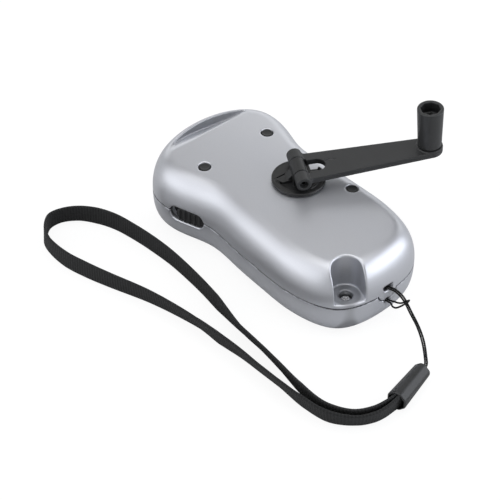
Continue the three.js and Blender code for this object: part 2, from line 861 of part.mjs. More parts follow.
// Two ribs with a round seat for the cells
function cellCradle() {
  const seat = cellRadius + fitGap;
  const low = shellWall / 2;
  const top = shellWall + cellRadius;
  const stack = cellCount * cellThickness;
  return [1, -1].map((side) => {
    const y = cellY + (side * stack) / 4;
    const rib = box(2 * seat, cradleThickness, top - low, cellX(), y, (top + low) / 2);
    return rib.subtract(cellRod(seat, y - cradleThickness, y + cradleThickness));
  });
}

function cellHeight() {
  return shellWall + fitGap + cellRadius;
}

function cellRod(radius, from, to) {
  const geometry = new THREE.CylinderGeometry(radius, radius, to - from, 24);
  return solid(geometry.translate(cellX(), (from + to) / 2, cellHeight()));
}

// Lamp end

function lensPiece() {
  const low = partingHeight - lensHeight;
  const high = partingHeight + lensHeight;
  const front = lensSetback;
  const back = shellWall + fitGap;
  const pane = prism(bodyLoop(front), low, high, [bodyLoop(back + lensFlangeThickness)]);
  const flange = prism(bodyLoop(back), low, high, [bodyLoop(back + lensFlangeThickness)]);
  const body = pane.intersect(lensSpace(-fitGap, 0)).intersect(wholeBody(front));
  return body.add(flange.intersect(lensSpace(lensFlangeWidth, 0)).intersect(wholeBody(back)));
}

function reflectorPiece() {
  const length = lensWidth - 2 * fitGap;
  const block = crossStadium(length, lensHeight - 2 * fitGap, reflectorBack, reflectorFront, lampHeight);
  const cups = ledPlaces().map((y) => {
    const cone = new THREE.CylinderGeometry(cupRadius, ledRadius + 2 * fitGap, reflectorDepth, 12);
    const middle = reflectorFront - reflectorDepth / 2;
    return solid(cone.rotateZ(-Math.PI / 2).translate(middle + fitGap, y, lampHeight));
  });
  const holes = ledPlaces().map((y) => rodX(ledRadius + fitGap, reflectorBack - fitGap, reflectorFront, y));
  return cut(block, [...cups, ...holes]);
}

function ledPlaces() {
  const pitch = cupPitchShare * lensWidth;
  return [-pitch, 0, pitch];
}

function rodX(radius, from, to, y, sides = 12) {
  const geometry = new THREE.CylinderGeometry(radius, radius, to - from, sides);
  return solid(geometry.rotateZ(-Math.PI / 2).translate((from + to) / 2, y, lampHeight));
}

function ledPiece(y) {
  const start = ledBoardX() + ledBoardThickness / 2;
  const flangeEnd = ledFlangeThickness;
  const profile = [
    [0, 0],
    [ledRadius + ledFlange, 0],
    [ledRadius + ledFlange, flangeEnd],
    [ledRadius, flangeEnd],
  ];
  for (let k = 0; k <= 4; k += 1) {
    const angle = (k / 4) * (Math.PI / 2);
    const height = ledLength - ledRadius + Math.sin(angle) * ledRadius;
    profile.push([k === 4 ? 0 : Math.cos(angle) * ledRadius, height]);
  }
  return turned(profile, 10).rotate([0, 90, 0]).translate([start, y, lampHeight]);
}

// Plate behind the lamps, drawn back a little from their flanges
function ledBoard() {
  const thickness = ledBoardThickness - fitGap / 2;
  return box(thickness, ledBoardWidth, ledBoardHeight, ledBoardX() - fitGap / 4, 0, lampHeight);
}

// Switch

function switchSlider() {
  const length = sliderLength();
  const capHeight = windowHeight - 2 * fitGap;
  const back = -shellWall - sliderFlangeDrop;
  const cap = sideStadium(length, capHeight, back - sliderFlangeThickness / 2, -sliderRecess);
  const ribHeight = capHeight - sliderRibHeight;
  const ribDepth = 2 * sliderRibHeight;
  const ribs = sliderRibPlaces().map((x) =>
    box(sliderRibThickness, ribDepth, ribHeight, x, -sliderRecess, 0),
  );
  const flangeHeight = windowHeight + 2 * sliderFlangeRim - 2 * fitGap;
  const flange = sideStadium(windowLength + sliderTravel, flangeHeight, back - sliderFlangeThickness, back);
  const tongueMiddle = back - sliderFlangeThickness / 2 - tongueLength / 2;
  const tongue = box(tongueWidth, tongueLength, tongueWidth, 0, tongueMiddle, 0);
  const shift = -sliderTravel / 2;
  return onSide(joined([cap, ...ribs, flange, tongue]).translate([shift, 0, 0]));
}

// The cap fills the window but for its travel
function sliderLength() {
  return windowLength - sliderTravel - 2 * fitGap;
}

function sliderRibPlaces() {
  const pitch = (sliderLength() - windowHeight / 2) / (sliderRibs - 1);
  return Array.from({ length: sliderRibs }, (_, i) => (i - (sliderRibs - 1) / 2) * pitch);
}

function switchBack() {
  return -shellWall - sliderFlangeDrop - sliderFlangeThickness - fitGap;
}

function switchBody() {
  const back = switchBack();
  const depth = switchBodyDepth;
  const slotLength = tongueWidth + sliderTravel + 2 * fitGap;
  const slotMiddle = back - tongueLength / 2 + sliderFlangeThickness / 2;
  const shell = box(switchBodyLength, depth, switchBodyHeight, 0, back - depth / 2, 0);
  const slot = box(slotLength, tongueLength, tongueWidth + 2 * fitGap, 0, slotMiddle, 0);
  return onSide(shell.subtract(slot));
}

// Post of the lower shell that carries the switch body
function switchStand() {
  const low = shellWall / 2 - partingHeight;
  const high = -switchBodyHeight / 2 - fitGap;
  const depth = switchBodyDepth - fitGap;
  const middle = switchBack() - fitGap - depth / 2;
  return onSide(box(switchBodyLength / 2, depth, high - low, 0, middle, (low + high) / 2));
}

// Gears

// Toothed outline: four points a tooth, with one tooth centred on the given angle
function gearOutline(teeth, phase) {
  const pitch = pitchRadius(teeth);
  const tip = pitch + addendumShare * gearModule;
  const root = pitch - dedendumShare * gearModule;
  const step = (2 * Math.PI) / teeth;
  const points = [];
  for (let i = 0; i < teeth; i += 1) {
    const middle = phase + i * step;
    const corners = [
      [root, -toothRootShare / 2],
      [tip, -toothTipShare / 2],
      [tip, toothTipShare / 2],
      [root, toothRootShare / 2],
    ];
    corners.forEach(([radius, share]) => {
      const angle = middle + share * step;
      points.push(new THREE.Vector2(Math.cos(angle) * radius, Math.sin(angle) * radius));
    });
  }
  return points;
}

function gearDisc(teeth, phase, bottom, top) {
  return prism(gearOutline(teeth, phase), bottom, top);
}

// Angle that puts a gap, not a tooth, towards a neighbour
function gapPhase(angle, teeth) {
  return angle * radians + Math.PI + Math.PI / teeth;
}

// Wheel thinned to a web between its hub and its rim
function webbedWheel(teeth, phase, bottom, top) {
  const rim = pitchRadius(teeth) - dedendumShare * gearModule - gearRimWidth;
  const sunk = (top - bottom - webThickness) / 2;
  const hub = circlePoints(spigotRadius + 2 * gearRimWidth, 8);
  const groove = (low, high) => prism(circlePoints(rim, 12), low, high, [hub]);
  return cut(gearDisc(teeth, phase, bottom, top), [
    groove(bottom - fitGap, bottom + sunk),
    groove(top - sunk, top + fitGap),
  ]);
}

function circlePoints(radius, sides) {
  return Array.from({ length: sides }, (_, i) => {
    const angle = (i / sides) * 2 * Math.PI;
    return new THREE.Vector2(Math.cos(angle) * radius, Math.sin(angle) * radius);
  });
}

function driveGear() {
  const wheel = webbedWheel(driveTeeth, firstAxleAngle * radians, driveBottom, driveTop);
  const boss = rod(spigotRadius + gearRimWidth, driveBottom, driveTop);
  const bore = rod(spigotRadius + fitGap, driveBottom - fitGap, driveTop + fitGap, new THREE.Vector2(), 6);
  return wheel.add(boss).subtract(bore).translate([hubX, hubY, 0]);
}

// Compound gear: a pinion in the layer above and a wheel in its own layer, on one axle
function idlerGear(centre, entryAngle, exitAngle, pinionTop) {
  const pinionBottom = pinionTop - gearWidth;
  const wheelTop = pinionBottom - layerGap;
  const pinion = gearDisc(pinionTeeth, gapPhase(entryAngle, pinionTeeth), wheelTop - fitGap, pinionTop);
  const wheel = gearDisc(wheelTeeth, exitAngle * radians, wheelTop - gearWidth, wheelTop);
  const boreBottom = wheelTop - gearWidth - fitGap;
  const bore = rod(axleRadius + fitGap, boreBottom, pinionTop + fitGap, new THREE.Vector2(), 8);
  return pinion.add(wheel).subtract(bore).translate([centre.x, centre.y, 0]);
}

function axle(centre, top) {
  return rod(axleRadius, plateBottom, top, centre, 8);
}

function gearPlate() {
  const disc = (centre, radius, sides = 8) => rod(radius, plateBottom, plateTop, centre, sides);
  const legs = plateLegPlaces();
  const axles = [axleOne, axleTwo];
  const plate = joined([
    disc(rotorCentre, statorOuter, 16),
    disc(axleOne, plateBossRadius + fitGap),
    disc(axleTwo, plateBossRadius + fitGap),
    plateStrip(rotorCentre, axleTwo, plateArm),
    plateStrip(axleTwo, axleOne, plateArm),
    plateStrip(axleOne, legs[2], 2 * plateBossRadius),
    plateStrip(rotorCentre, legs[0], 2 * plateBossRadius),
    plateStrip(rotorCentre, legs[1], 2 * plateBossRadius),
    ...legs.map((place) => disc(place, plateBossRadius)),
    ...axles.map((place) => rod(axleBossRadius, plateTop, thirdBottom - fitGap, place, 8)),
  ]);
  return cut(plate, [
    rod(axleRadius + fitGap, plateBottom - fitGap, plateTop + fitGap, rotorCentre, 8),
    ...axles.map((place) => rod(axleRadius + fitGap, plateBottom - fitGap, thirdBottom, place, 8)),
  ]);
}

function plateStrip(from, to, width) {
  const reach = from.distanceTo(to);
  const angle = Math.atan2(to.y - from.y, to.x - from.x) / radians;
  const bar = box(reach, width, plateThickness, reach / 2, 0, plateBottom + plateThickness / 2);
  return bar.rotate([0, 0, angle]).translate([from.x, from.y, 0]);
}

// Generator

function rotorShaft() {
  const phase = gapPhase(rotorAngle, pinionTeeth);
  const pinion = gearDisc(pinionTeeth, phase, thirdBottom, thirdTop);
  const shaft = rod(axleRadius, shellWall + fitGap, thirdTop, new THREE.Vector2(), 8);
  return pinion.add(shaft).translate([rotorCentre.x, rotorCentre.y, 0]);
}

function rotorMagnet() {
  const bottom = statorBottom + (statorHeight - magnetHeight) / 2;
  const top = bottom + magnetHeight;
  const magnet = rod(magnetRadius, bottom, top, new THREE.Vector2(), 20);
  const bore = rod(axleRadius + fitGap, bottom - fitGap, top + fitGap, new THREE.Vector2(), 8);
  return magnet.subtract(bore).translate([rotorCentre.x, rotorCentre.y, 0]);
}

// Bobbin with two flanges round the magnet
function statorBobbin() {
  const waist = statorInner + statorWall;
  const ring = turned(
    [
      [statorInner, statorBottom],
      [statorOuter, statorBottom],
      [statorOuter, statorBottom + statorWall],
      [waist, statorBottom + statorWall],
      [waist, statorTop - statorWall],
      [statorOuter, statorTop - statorWall],
      [statorOuter, statorTop],
      [statorInner, statorTop],
      [statorInner, statorBottom],
    ],
    20,
  );
  return ring.translate([rotorCentre.x, rotorCentre.y, 0]);
}

function statorCoil() {
  const inner = statorInner + statorWall + fitGap;
  const outer = statorOuter - statorWall / 2;
  const low = statorBottom + statorWall + fitGap;
  const high = statorTop - statorWall - fitGap;
  const ring = turned(
    [
      [inner, low],
      [outer, low],
      [outer, high],
      [inner, high],
      [inner, low],
    ],
    20,
  );
  return ring.translate([rotorCentre.x, rotorCentre.y, 0]);
}

// Cells and charging board

function cellPiece(i) {
  const start = cellY - (cellCount * cellThickness) / 2 + i * cellThickness;
  return cellRod(cellRadius, start + cellGap / 2, start + cellThickness - cellGap / 2);
}

function cellTab(side) {
  const end = cellY + (side * (cellCount * cellThickness)) / 2;
  const y = end + side * (tabThickness / 2 + cellGap / 2);
  const low = shellWall + fitGap;
  const tabHeight = tabHeightShare * 2 * cellRadius;
  return box(tabWidth, tabThickness, tabHeight, cellX(), y, low + tabHeight / 2);
}

function chargeBoard() {
  const low = shellWall + boardStand + fitGap;
  return box(boardLength, boardWidth, boardThickness, boardX(), 0, low + boardThickness / 2);
}

function capacitor() {
  const low = shellWall + boardStand + 2 * fitGap + boardThickness;
  const radius = capacitorRadius;
  const geometry = new THREE.CylinderGeometry(radius, radius, capacitorLength, 16);
  return solid(geometry.translate(boardX(), 0, low + radius));
}

// Crank

// Local frame of the arm: origin on the pin, X outwards along the arm, Y along the pin
function crankHub() {
  const profile = [
    [0, hubBase],
    [hubRadius, hubBase],
    [hubRadius, hubTop],
    [hubRadius - hubRimWidth, hubTop],
    [hubRadius - hubRimWidth, hubTop - hubPocketDepth],
    [0, hubTop - hubPocketDepth],
  ];
  const disc = turned(profile, 36);
  const journal = rod(journalRadius, driveTop + fitGap / 2, hubBase + fitGap, new THREE.Vector2(), 20);
  const spigot = rod(spigotRadius, driveBottom + fitGap, driveTop + fitGap, new THREE.Vector2(), 6);
  const lugBase = hubTop - hubPocketDepth - fitGap;
  const lugBlock = box(2 * earRadius, lugWidth, pinHeight - lugBase, 0, 0, (pinHeight + lugBase) / 2);
  const lugRound = rodY(earRadius, -lugWidth / 2, lugWidth / 2, pinHeight);
  const crossRib = box(2 * (hubRadius - hubRimWidth), hubRibWidth, hubPocketDepth + fitGap, 0, 0, 0);
  const ribLift = hubTop - (hubPocketDepth + fitGap) / 2;
  const ribs = [-1, 1].map((side) =>
    crossRib.translate([0, side * (lugWidth / 2 - hubRibWidth / 2), ribLift - fitGap / 2]),
  );
  const stop = box(hubRadius / 2, lugWidth, hubPocketDepth + hubRibWidth, -hubRadius / 2, 0, 0);
  const screwTop = driveBottom + hubScrewLength;
  const screwHole = rod(hubScrewRadius + fitGap, driveBottom - fitGap, screwTop, new THREE.Vector2(), 8);
  const pinHole = rodY(pinRadius + fitGap, -lugWidth, lugWidth, pinHeight, 16);
  const body = joined([disc, journal, spigot, lugBlock, lugRound, ...ribs, stop.translate([0, 0, ribLift])]);
  return turnedToArm(cut(body, [screwHole, pinHole]));
}

function rodY(radius, from, to, z, sides = 20) {
  const geometry = new THREE.CylinderGeometry(radius, radius, to - from, sides);
  return solid(geometry.translate(0, (from + to) / 2, z));
}

function turnedToArm(shape) {
  return shape.rotate([0, 0, armAngle]).translate([hubX, hubY, 0]);
}

function hubScrew() {
  const profile = [
    [0, driveBottom - fitGap - hubScrewHeadHeight],
    [hubScrewHead, driveBottom - fitGap - hubScrewHeadHeight],
    [hubScrewHead, driveBottom - fitGap],
    [hubScrewRadius, driveBottom - fitGap],
    [hubScrewRadius, driveBottom + hubScrewLength - 2 * fitGap],
    [0, driveBottom + hubScrewLength - 2 * fitGap],
  ];
  return turned(profile, 16).translate([hubX, hubY, 0]);
}

function hingePin() {
  return rodY(pinRadius, -forkWidth / 2 + fitGap, forkWidth / 2 - fitGap, 0, 16);
}

// The plate is drawn in behind the ears, and its slot behind the lug
function armOutline() {
  const shape = new THREE.Shape();
  const half = forkWidth / 2 - forkInset;
  const lugHalf = lugWidth / 2 + fitGap;
  const lugEnd = earRadius + 2 * fitGap;
  const slotHalf = forkSlotWidth / 2;
  const slotEnd = forkSlotLength - slotHalf;
  shape.moveTo(0, half);
  shape.lineTo(0, lugHalf);
  shape.lineTo(lugEnd, lugHalf);
  shape.lineTo(lugEnd, slotHalf);
  shape.lineTo(slotEnd, slotHalf);
  shape.absarc(slotEnd, 0, slotHalf, Math.PI / 2, -Math.PI / 2, true);
  shape.lineTo(lugEnd, -slotHalf);
  shape.lineTo(lugEnd, -lugHalf);
  shape.lineTo(0, -lugHalf);
  shape.lineTo(0, -half);
  shape.lineTo(earLead, -half);
  shape.quadraticCurveTo(earLead, -armStartRadius, earHollow, -armStartRadius);
  shape.lineTo(armLength, -armEndRadius);
  shape.absarc(armLength, 0, armEndRadius, -Math.PI / 2, Math.PI / 2, false);
  shape.lineTo(earHollow, armStartRadius);
  shape.quadraticCurveTo(earLead, armStartRadius, earLead, half);
  shape.closePath();
  return shape;
}

function crankArm() {
  const geometry = new THREE.ExtrudeGeometry(armOutline(), {
    depth: armThickness,
    bevelEnabled: false,
    curveSegments: 7,
  });
  const plate = solid(geometry.translate(0, 0, -armThickness / 2));
  const ears = [-1, 1].map((side) => {
    const inner = side * (lugWidth / 2 + fitGap);
    const outer = side * (forkWidth / 2);
    return rodY(earRadius, Math.min(inner, outer), Math.max(inner, outer), 0);
  });
  const postTop = armThickness / 2 + knobFloor - fitGap;
  const end = new THREE.Vector2(armLength, 0);
  const pad = rod(knobBaseRadius, 0, armThickness / 2 + fitGap, end, 24);
  const post = rod(knobPostRadius, 0, postTop, end, 12);
  const screwHole = rod(knobScrewRadius + fitGap, 0, postTop + fitGap, end, 8);
  const pinHole = rodY(pinRadius + fitGap, -forkWidth, forkWidth, 0, 12);
  return cut(joined([plate, ...ears, pad, post]), [screwHole, pinHole]);
}

// Hollow knob: a tapered tube with an eight-sided bore, a floor, and a sleeve over the post
function knobPiece() {
  const base = armThickness / 2 + 2 * fitGap;
  const top = base + knobHeight;
  const outside = [
    [0, base],
    [knobBaseRadius - knobEdge, base],
    [knobBaseRadius, base + knobEdge],
    [knobTopRadius, top - knobEdge],
    [knobTopRadius - knobEdge, top],
    [0, top],
  ];
  const centre = new THREE.Vector2();
  const bore = rod(knobBoreRadius, base + knobFloor, top + fitGap, centre, 8).rotate([0, 0, 180 / 8]);
  const journal = rod(knobPostRadius + fitGap, base - fitGap, base + knobFloor + fitGap, centre, 20);
  return cut(turned(outside, 24), [bore, journal]).translate([armLength, 0, 0]);
}

function knobScrew() {
  const seat = armThickness / 2 + 2 * fitGap + knobFloor + fitGap;
  const profile = [
    [0, knobScrewHeadHeight + seat],
    [knobScrewHead, knobScrewHeadHeight / 2 + seat],
    [knobScrewHead, seat],
    [knobScrewRadius, seat],
    [knobScrewRadius, fitGap],
    [0, fitGap],
  ];
  return turned(profile, 16).translate([armLength, 0, 0]);
}

// Screws and plugs

function shellScrew(place, seat, length) {
  const profile = [
    [0, seat + screwHeadHeight],
    [screwHeadRadius - screwHeadHeight / 2, seat + screwHeadHeight],
    [screwHeadRadius, seat + screwHeadHeight / 2],
    [screwHeadRadius, seat],
    [screwRadius, seat],
    [screwRadius, seat - length + screwRadius],
    [0, seat - length],
  ];
  return turned(profile, 12).translate([place.x, place.y, 0]);
}

function screwPlug(place) {
  const top = topHeight(place);
  const profile = [
    [0, top - plugThickness],
    [plugRadius, top - plugThickness],
    [plugRadius, top - plugThickness / 4],
    [plugRadius - plugThickness / 4, top],
    [0, top],
  ];
  return turned(profile, 16).translate([place.x, place.y, 0]);
}

// Plug leg that stands on the screw head below it
function plugWithLeg(place) {
  const low = postFloor() + screwHeadHeight + fitGap;
  const leg = rod(plugRadius / 2, low + fitGap, topHeight(place) - plugThickness / 2, place, 8);
  return screwPlug(place).add(leg);
}

// Cord and strap

function lanyardString() {
  const fromTail = (points, level) => points.map(
    ([x, y, z]) => new THREE.Vector3(x - halfLength, y, z + level),
  );
  const points = [
    ...fromTail(stringOut, 0),
    ...fromTail(stringRoundEye, eyeHeight),
    ...fromTail(stringBack, 0),
  ];
  const path = new THREE.CatmullRomCurve3(points);
  const shape = new THREE.Shape(circlePoints(stringDiameter / 2, 6));
  const sweep = { steps: stringSteps, extrudePath: path, bevelEnabled: false };
  return solid(new THREE.ExtrudeGeometry(shape, sweep));
}

function sleeveSection(width, height, bottom) {
  const corner = Math.min(sleeveCorner, width / 2 - fitGap);
  const points = [];
  [[1, 1], [-1, 1], [-1, -1], [1, -1]].forEach(([sx, sz], quarter) => {
    for (let k = 0; k <= 3; k += 1) {
      const angle = ((quarter + k / 3) * Math.PI) / 2;
      const x = sx * (width / 2 - corner) + Math.cos(angle) * corner;
      const z = sz * (height / 2 - corner) + Math.sin(angle) * corner;
      points.push(new THREE.Vector2(x, z + bottom + height / 2));
    }
  });
  return points;
}

function strapSleeve() {
  const start = new THREE.Vector2(sleeveStart[0] - halfLength, sleeveStart[1]);
  const axis = new THREE.Vector2(sleeveEnd[0] - halfLength, sleeveEnd[1]).sub(start);
  const ring = (share, width, height) => {
    const centre = start.clone().addScaledVector(axis, share);
    const across = new THREE.Vector2(-axis.y, axis.x).normalize();
    return sleeveSection(width, height, floorGap).map(
      (p) => new THREE.Vector3(centre.x - across.x * p.x, centre.y - across.y * p.x, p.y),
    );
  };
  const rings = [
    ring(0, sleeveFrontWidth - sleeveCorner / 2, sleeveFrontHeight - sleeveCorner / 2),
    ring(sleeveCorner / 2 / axis.length(), sleeveFrontWidth, sleeveFrontHeight),
    ring(1 - sleeveCorner / 2 / axis.length(), sleeveRearWidth, sleeveRearHeight),
    ring(1, sleeveRearWidth - sleeveCorner / 2, sleeveRearHeight),
  ];
  return loft(rings);
}

// Flat band standing on its edge, swept along its route
function wristStrap() {
  const middle = floorGap + strapWidth / 2;
  const points = strapPoints.map(([x, y]) => new THREE.Vector3(x - halfLength, y, middle));
  const path = new THREE.CatmullRomCurve3(points, false, "centripetal");
  const count = strapSteps;
  const rings = path.getSpacedPoints(count).map((p, i) => {
    const t = path.getTangentAt(i / count);
    const across = new THREE.Vector3(-t.y, t.x, 0).normalize();
    return strapSection().map(([aside, rise]) => {
      const edge = p.clone().addScaledVector(across, aside);
      return edge.setZ(p.z + rise);
    });
  });
  return loft(rings);
}

function strapSection() {
  const half = strapThickness / 2;
  const edge = strapWidth / 2;
  const soft = strapEdgeRound;
  return [
    [half, -edge + soft],
    [half, edge - soft],
    [0, edge],
    [-half, edge - soft],
    [-half, -edge + soft],
    [0, -edge],
  ];
}

// Assembly

const flashlight = new THREE.Group();

function add(name, shape, look, parent = flashlight) {
  const mesh = new THREE.Mesh(geometryOf(shape), new THREE.MeshStandardMaterial(look));
  mesh.name = name;
  parent.add(mesh);
}

// The arm's own frame: origin on the pin, turned to its angle and lifted a little at the knob
const armFrame = new THREE.Group();
armFrame.position.set(hubX, hubY, pinHeight);
armFrame.rotation.order = "ZYX";
armFrame.rotation.set(0, -armTilt * radians, armAngle * radians);
flashlight.add(armFrame);

add("upper_shell", upperShell(), silverPaint);
add("lower_shell", lowerShell(), silverPaint);
add("lens", lensPiece(), clearPlastic);
add("reflector", reflectorPiece(), mirrorPlate);
add("led_board", ledBoard(), greenBoard);
ledPlaces().forEach((y, i) => add(`led_${i + 1}`, ledPiece(y), warmLed));
add("switch_slider", switchSlider(), blackPlastic);
add("switch_body", switchBody(), steel);

add("crank_hub", crankHub(), blackPlastic);
add("hub_screw", hubScrew(), steel);
add("drive_gear", driveGear(), whiteNylon);
add("hinge_pin", hingePin(), steel, armFrame);
add("crank_arm", crankArm(), blackPlastic, armFrame);
add("crank_knob", knobPiece(), blackPlastic, armFrame);
add("knob_screw", knobScrew(), steel, armFrame);

add("idler_gear_1", idlerGear(axleOne, firstAxleAngle, secondAxleAngle, driveTop), whiteNylon);
add("idler_gear_2", idlerGear(axleTwo, secondAxleAngle, rotorAngle, secondTop), whiteNylon);
add("axle_1", axle(axleOne, innerTop), steel);
add("axle_2", axle(axleTwo, innerTop), steel);
add("gear_plate", gearPlate(), steel);
add("rotor_shaft", rotorShaft(), steel);
add("rotor_magnet", rotorMagnet(), ferrite);
add("stator_bobbin", statorBobbin(), blackPlastic);
add("stator_coil", statorCoil(), copperWire);

for (let i = 0; i < cellCount; i += 1) {
  add(`battery_cell_${i + 1}`, cellPiece(i), greenWrap);
}
add("cell_tab_front", cellTab(1), steel);
add("cell_tab_rear", cellTab(-1), steel);
add("charge_board", chargeBoard(), greenBoard);
add("capacitor", capacitor(), ferrite);

screwPlaces.forEach((place, i) => {
  add(`shell_screw_${i + 1}`, shellScrew(place, postFloor() + fitGap, screwLength), steel);
  add(`screw_plug_${i + 1}`, plugWithLeg(place), blackPlastic);
});
const recessSeat = upperStart + recessFloor - counterboreDepth + fitGap;
add("recess_screw", shellScrew(recessCentre, recessSeat, recessScrewLength), steel);

add("lanyard_string", lanyardString(), blackWebbing);
add("strap_sleeve", strapSleeve(), blackPlastic);
add("wrist_strap", wristStrap(), blackWebbing);

export default flashlight;
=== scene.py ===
"""Dressed model of a hand crank flashlight: shells, crank, switch, lanyard and lamp end.
Lengths are in millimetres until a mesh is made."""
import functools
import json
import math

import bpy
import numpy as np
from mathutils import Matrix, Vector


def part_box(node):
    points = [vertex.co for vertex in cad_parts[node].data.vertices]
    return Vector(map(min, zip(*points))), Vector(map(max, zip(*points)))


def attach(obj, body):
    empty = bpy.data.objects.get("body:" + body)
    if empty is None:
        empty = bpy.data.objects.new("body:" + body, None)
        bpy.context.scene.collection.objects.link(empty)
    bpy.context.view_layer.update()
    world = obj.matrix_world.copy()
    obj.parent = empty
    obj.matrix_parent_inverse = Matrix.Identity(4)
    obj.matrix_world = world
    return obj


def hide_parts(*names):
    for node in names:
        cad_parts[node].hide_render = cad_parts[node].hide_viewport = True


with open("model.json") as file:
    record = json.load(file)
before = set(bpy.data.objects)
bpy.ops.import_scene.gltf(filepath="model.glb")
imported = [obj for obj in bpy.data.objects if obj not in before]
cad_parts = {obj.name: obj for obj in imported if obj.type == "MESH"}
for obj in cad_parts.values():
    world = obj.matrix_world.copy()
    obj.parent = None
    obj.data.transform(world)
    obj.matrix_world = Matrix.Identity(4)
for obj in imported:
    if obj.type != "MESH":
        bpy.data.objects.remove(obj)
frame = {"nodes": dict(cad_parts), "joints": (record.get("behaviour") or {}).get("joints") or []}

MM, TURN = 0.001, 2 * math.pi
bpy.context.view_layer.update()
nodes = frame["nodes"]
joints = {joint["name"]: joint for joint in frame["joints"]}


def joint_place(name):
    """Where a joint of the frame lies"""
    return np.array(joints[name]["pos_m"]) / MM


def node_middle(name):
    """Middle of a CAD node in plan"""
    low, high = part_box(name)
    return (low[0] + high[0]) / 2 / MM, (low[1] + high[1]) / 2 / MM


# Body sizes
FIT = 0.3
HALF_LENGTH, HALF_WIDTH, BODY_HEIGHT = 52.0, 28.2, 28.4
PARTING, PARTING_GAP, WALL = 13.4048, 0.3, 2.0
UPPER_START, LOWER_END = PARTING + PARTING_GAP / 2, PARTING - PARTING_GAP / 2
TOP_ROUND, TOP_POWER, TOP_RISE, TOP_CROWN = 8.5, 2.27, 0.6, 1.4
BASE_ROUND, BASE_POWER = 8.2, 2.7
OUTLINE = [(53, 0), (50, 17.4), (40.8, 28.7), (26.8, 28.5), (14.1, 22.4), (0.5, 24.6), (-19.1, 25.1),
           (-29, 25.6), (-49.9, 20.8), (-53, 0)]
SCOOP_START, SCOOP_RIM, SCOOP_SLOPE, SCOOP_TWIST = 39.6, 6.2, 0.6, 0.02
RIM_EDGE, EYE_EDGE, OPENING_EDGE, BORE_EDGE = 0.22, 0.6, 0.5, 0.25

# Posts and bores in the shells
PLUGS = [node_middle(f"screw_plug_{number}") for number in (1, 2, 3)]
PLUG_HOLE, PLUG_RADIUS, POST_RADIUS, POST_FLOOR = 2.3, 2.0, 3.7, UPPER_START + 5
ABOVE, UP_THROUGH, SCREW_BORE, AXLE_BORE, LOW_POST, LEG = 40, 20, 1.3, 1.1, 2.95, 2.6

# Tail recess and its screw
RECESS, RECESS_ANGLE, RECESS_RADIUS = node_middle("recess_screw"), math.radians(157.9), 5.4
RECESS_FLOOR, RECESS_WALL, COUNTERBORE, BOSS_DROP = UPPER_START + 1.3, 1.5, 3.6, 3.0
RECESS_SEAT = RECESS_FLOOR - COUNTERBORE + FIT

# Crank
HUB, PIN_PLACE, KNOB_PLACE = joint_place("crank_spin")[:2], joint_place("arm_fold"), joint_place("knob_spin")
PIN_HEIGHT = PIN_PLACE[2]
ARM_LENGTH = float(np.linalg.norm(KNOB_PLACE - PIN_PLACE))
HUB_RADIUS, HUB_LOW, HUB_TOP, HUB_FLOOR = 9.5, 28.7, 29.9, 29.3
JOURNAL, COLLAR, COLLAR_LOW = 5, 7, 24.3
LUG_HALF, EAR_RADIUS, EAR_OUT, PIN_RADIUS = 3.55, 2.65, 8.7, 1.0
PLATE_TOP, PLATE_LOW, PLATE_START, PLATE_END, EAR_HOLLOW = 0.9, -1.4, 6.95, 4.65, 4.4
KNOB_LOW, KNOB_HIGH, KNOB_FLOOR, KNOB_BASE, KNOB_TOP = 1.5, 17.2, 7.0, 4.2, 4.65

# Switch, eye, gears and lamps
SWITCH, SWITCH_ALONG = (22.476, 26.184), joints["switch_slide"]["axis"][:2]
SWITCH_OUT, SWITCH_HEIGHT = (-SWITCH_ALONG[1], SWITCH_ALONG[0]), PARTING - 0.5
EYE, EYE_RING, EYE_HEIGHT, EYE_WIDTH = (-51.7, -0.5, PARTING - 1), 2.9, 2.1, 3.3
TAB_HEIGHT, TAB_RADIUS, TAB_START = 14.105, 4.0, -49.8
TURNING = "first_idler", "second_idler", "rotor"
AXLE_ONE, AXLE_TWO, ROTOR = (joint_place(f"{name}_spin")[:2] for name in TURNING)
AXLE_BORES, AXLE_BOSS = ((AXLE_ONE, 24.0), (AXLE_TWO, 20.4)), 2
LENS_HALF, LENS_HEIGHT, LENS_ROOM = 16.5, 11.8, 40
LAMPS, LAMP_BASE = (-9.8, 0.0, 9.8), 34.8


# Camera

PICTURE, SENSOR = 500, 36


def add_object(name, data):
    made = bpy.data.objects.new(name, data)
    bpy.context.scene.collection.objects.link(made)
    return made


def make_camera():
    """Camera of the photograph: its direction, pixels per millimetre, focal length and middle in pixels"""
    azimuth, elevation = math.radians(131.1634), math.radians(42.3214)
    scale, focal, middle = 2.78029, 1618.62, (282.996, 244.255)
    right = Vector((math.cos(azimuth), -math.sin(azimuth), 0))
    level, rise = math.sin(elevation), math.cos(elevation)
    up = Vector((math.sin(azimuth) * level, math.cos(azimuth) * level, rise))
    forward = up.cross(right)
    shift = [PICTURE / 2 - value for value in middle]
    place = shift[0] / scale * right - shift[1] / scale * up - focal / scale * forward
    data = bpy.data.cameras.new("photo_camera")
    data.sensor_width, data.lens = SENSOR, focal * SENSOR / PICTURE
    data.clip_start, data.clip_end = 0.02, 20
    camera = add_object("photo_camera", data)
    camera.matrix_world = Matrix.Translation(place * MM) @ Matrix((right, up, -forward)).transposed().to_4x4()
    bpy.context.scene.camera = camera


make_camera()


# Meshes

LEVEL = np.eye(3)


def new_object(name, points, faces, smooth=True):
    mesh = bpy.data.meshes.new(name)
    mesh.from_pydata((np.asarray(points) * MM).tolist(), [], [tuple(face) for face in faces])
    mesh.polygons.foreach_set("use_smooth", [smooth] * len(mesh.polygons))
    mesh.update()
    return add_object(name, mesh)


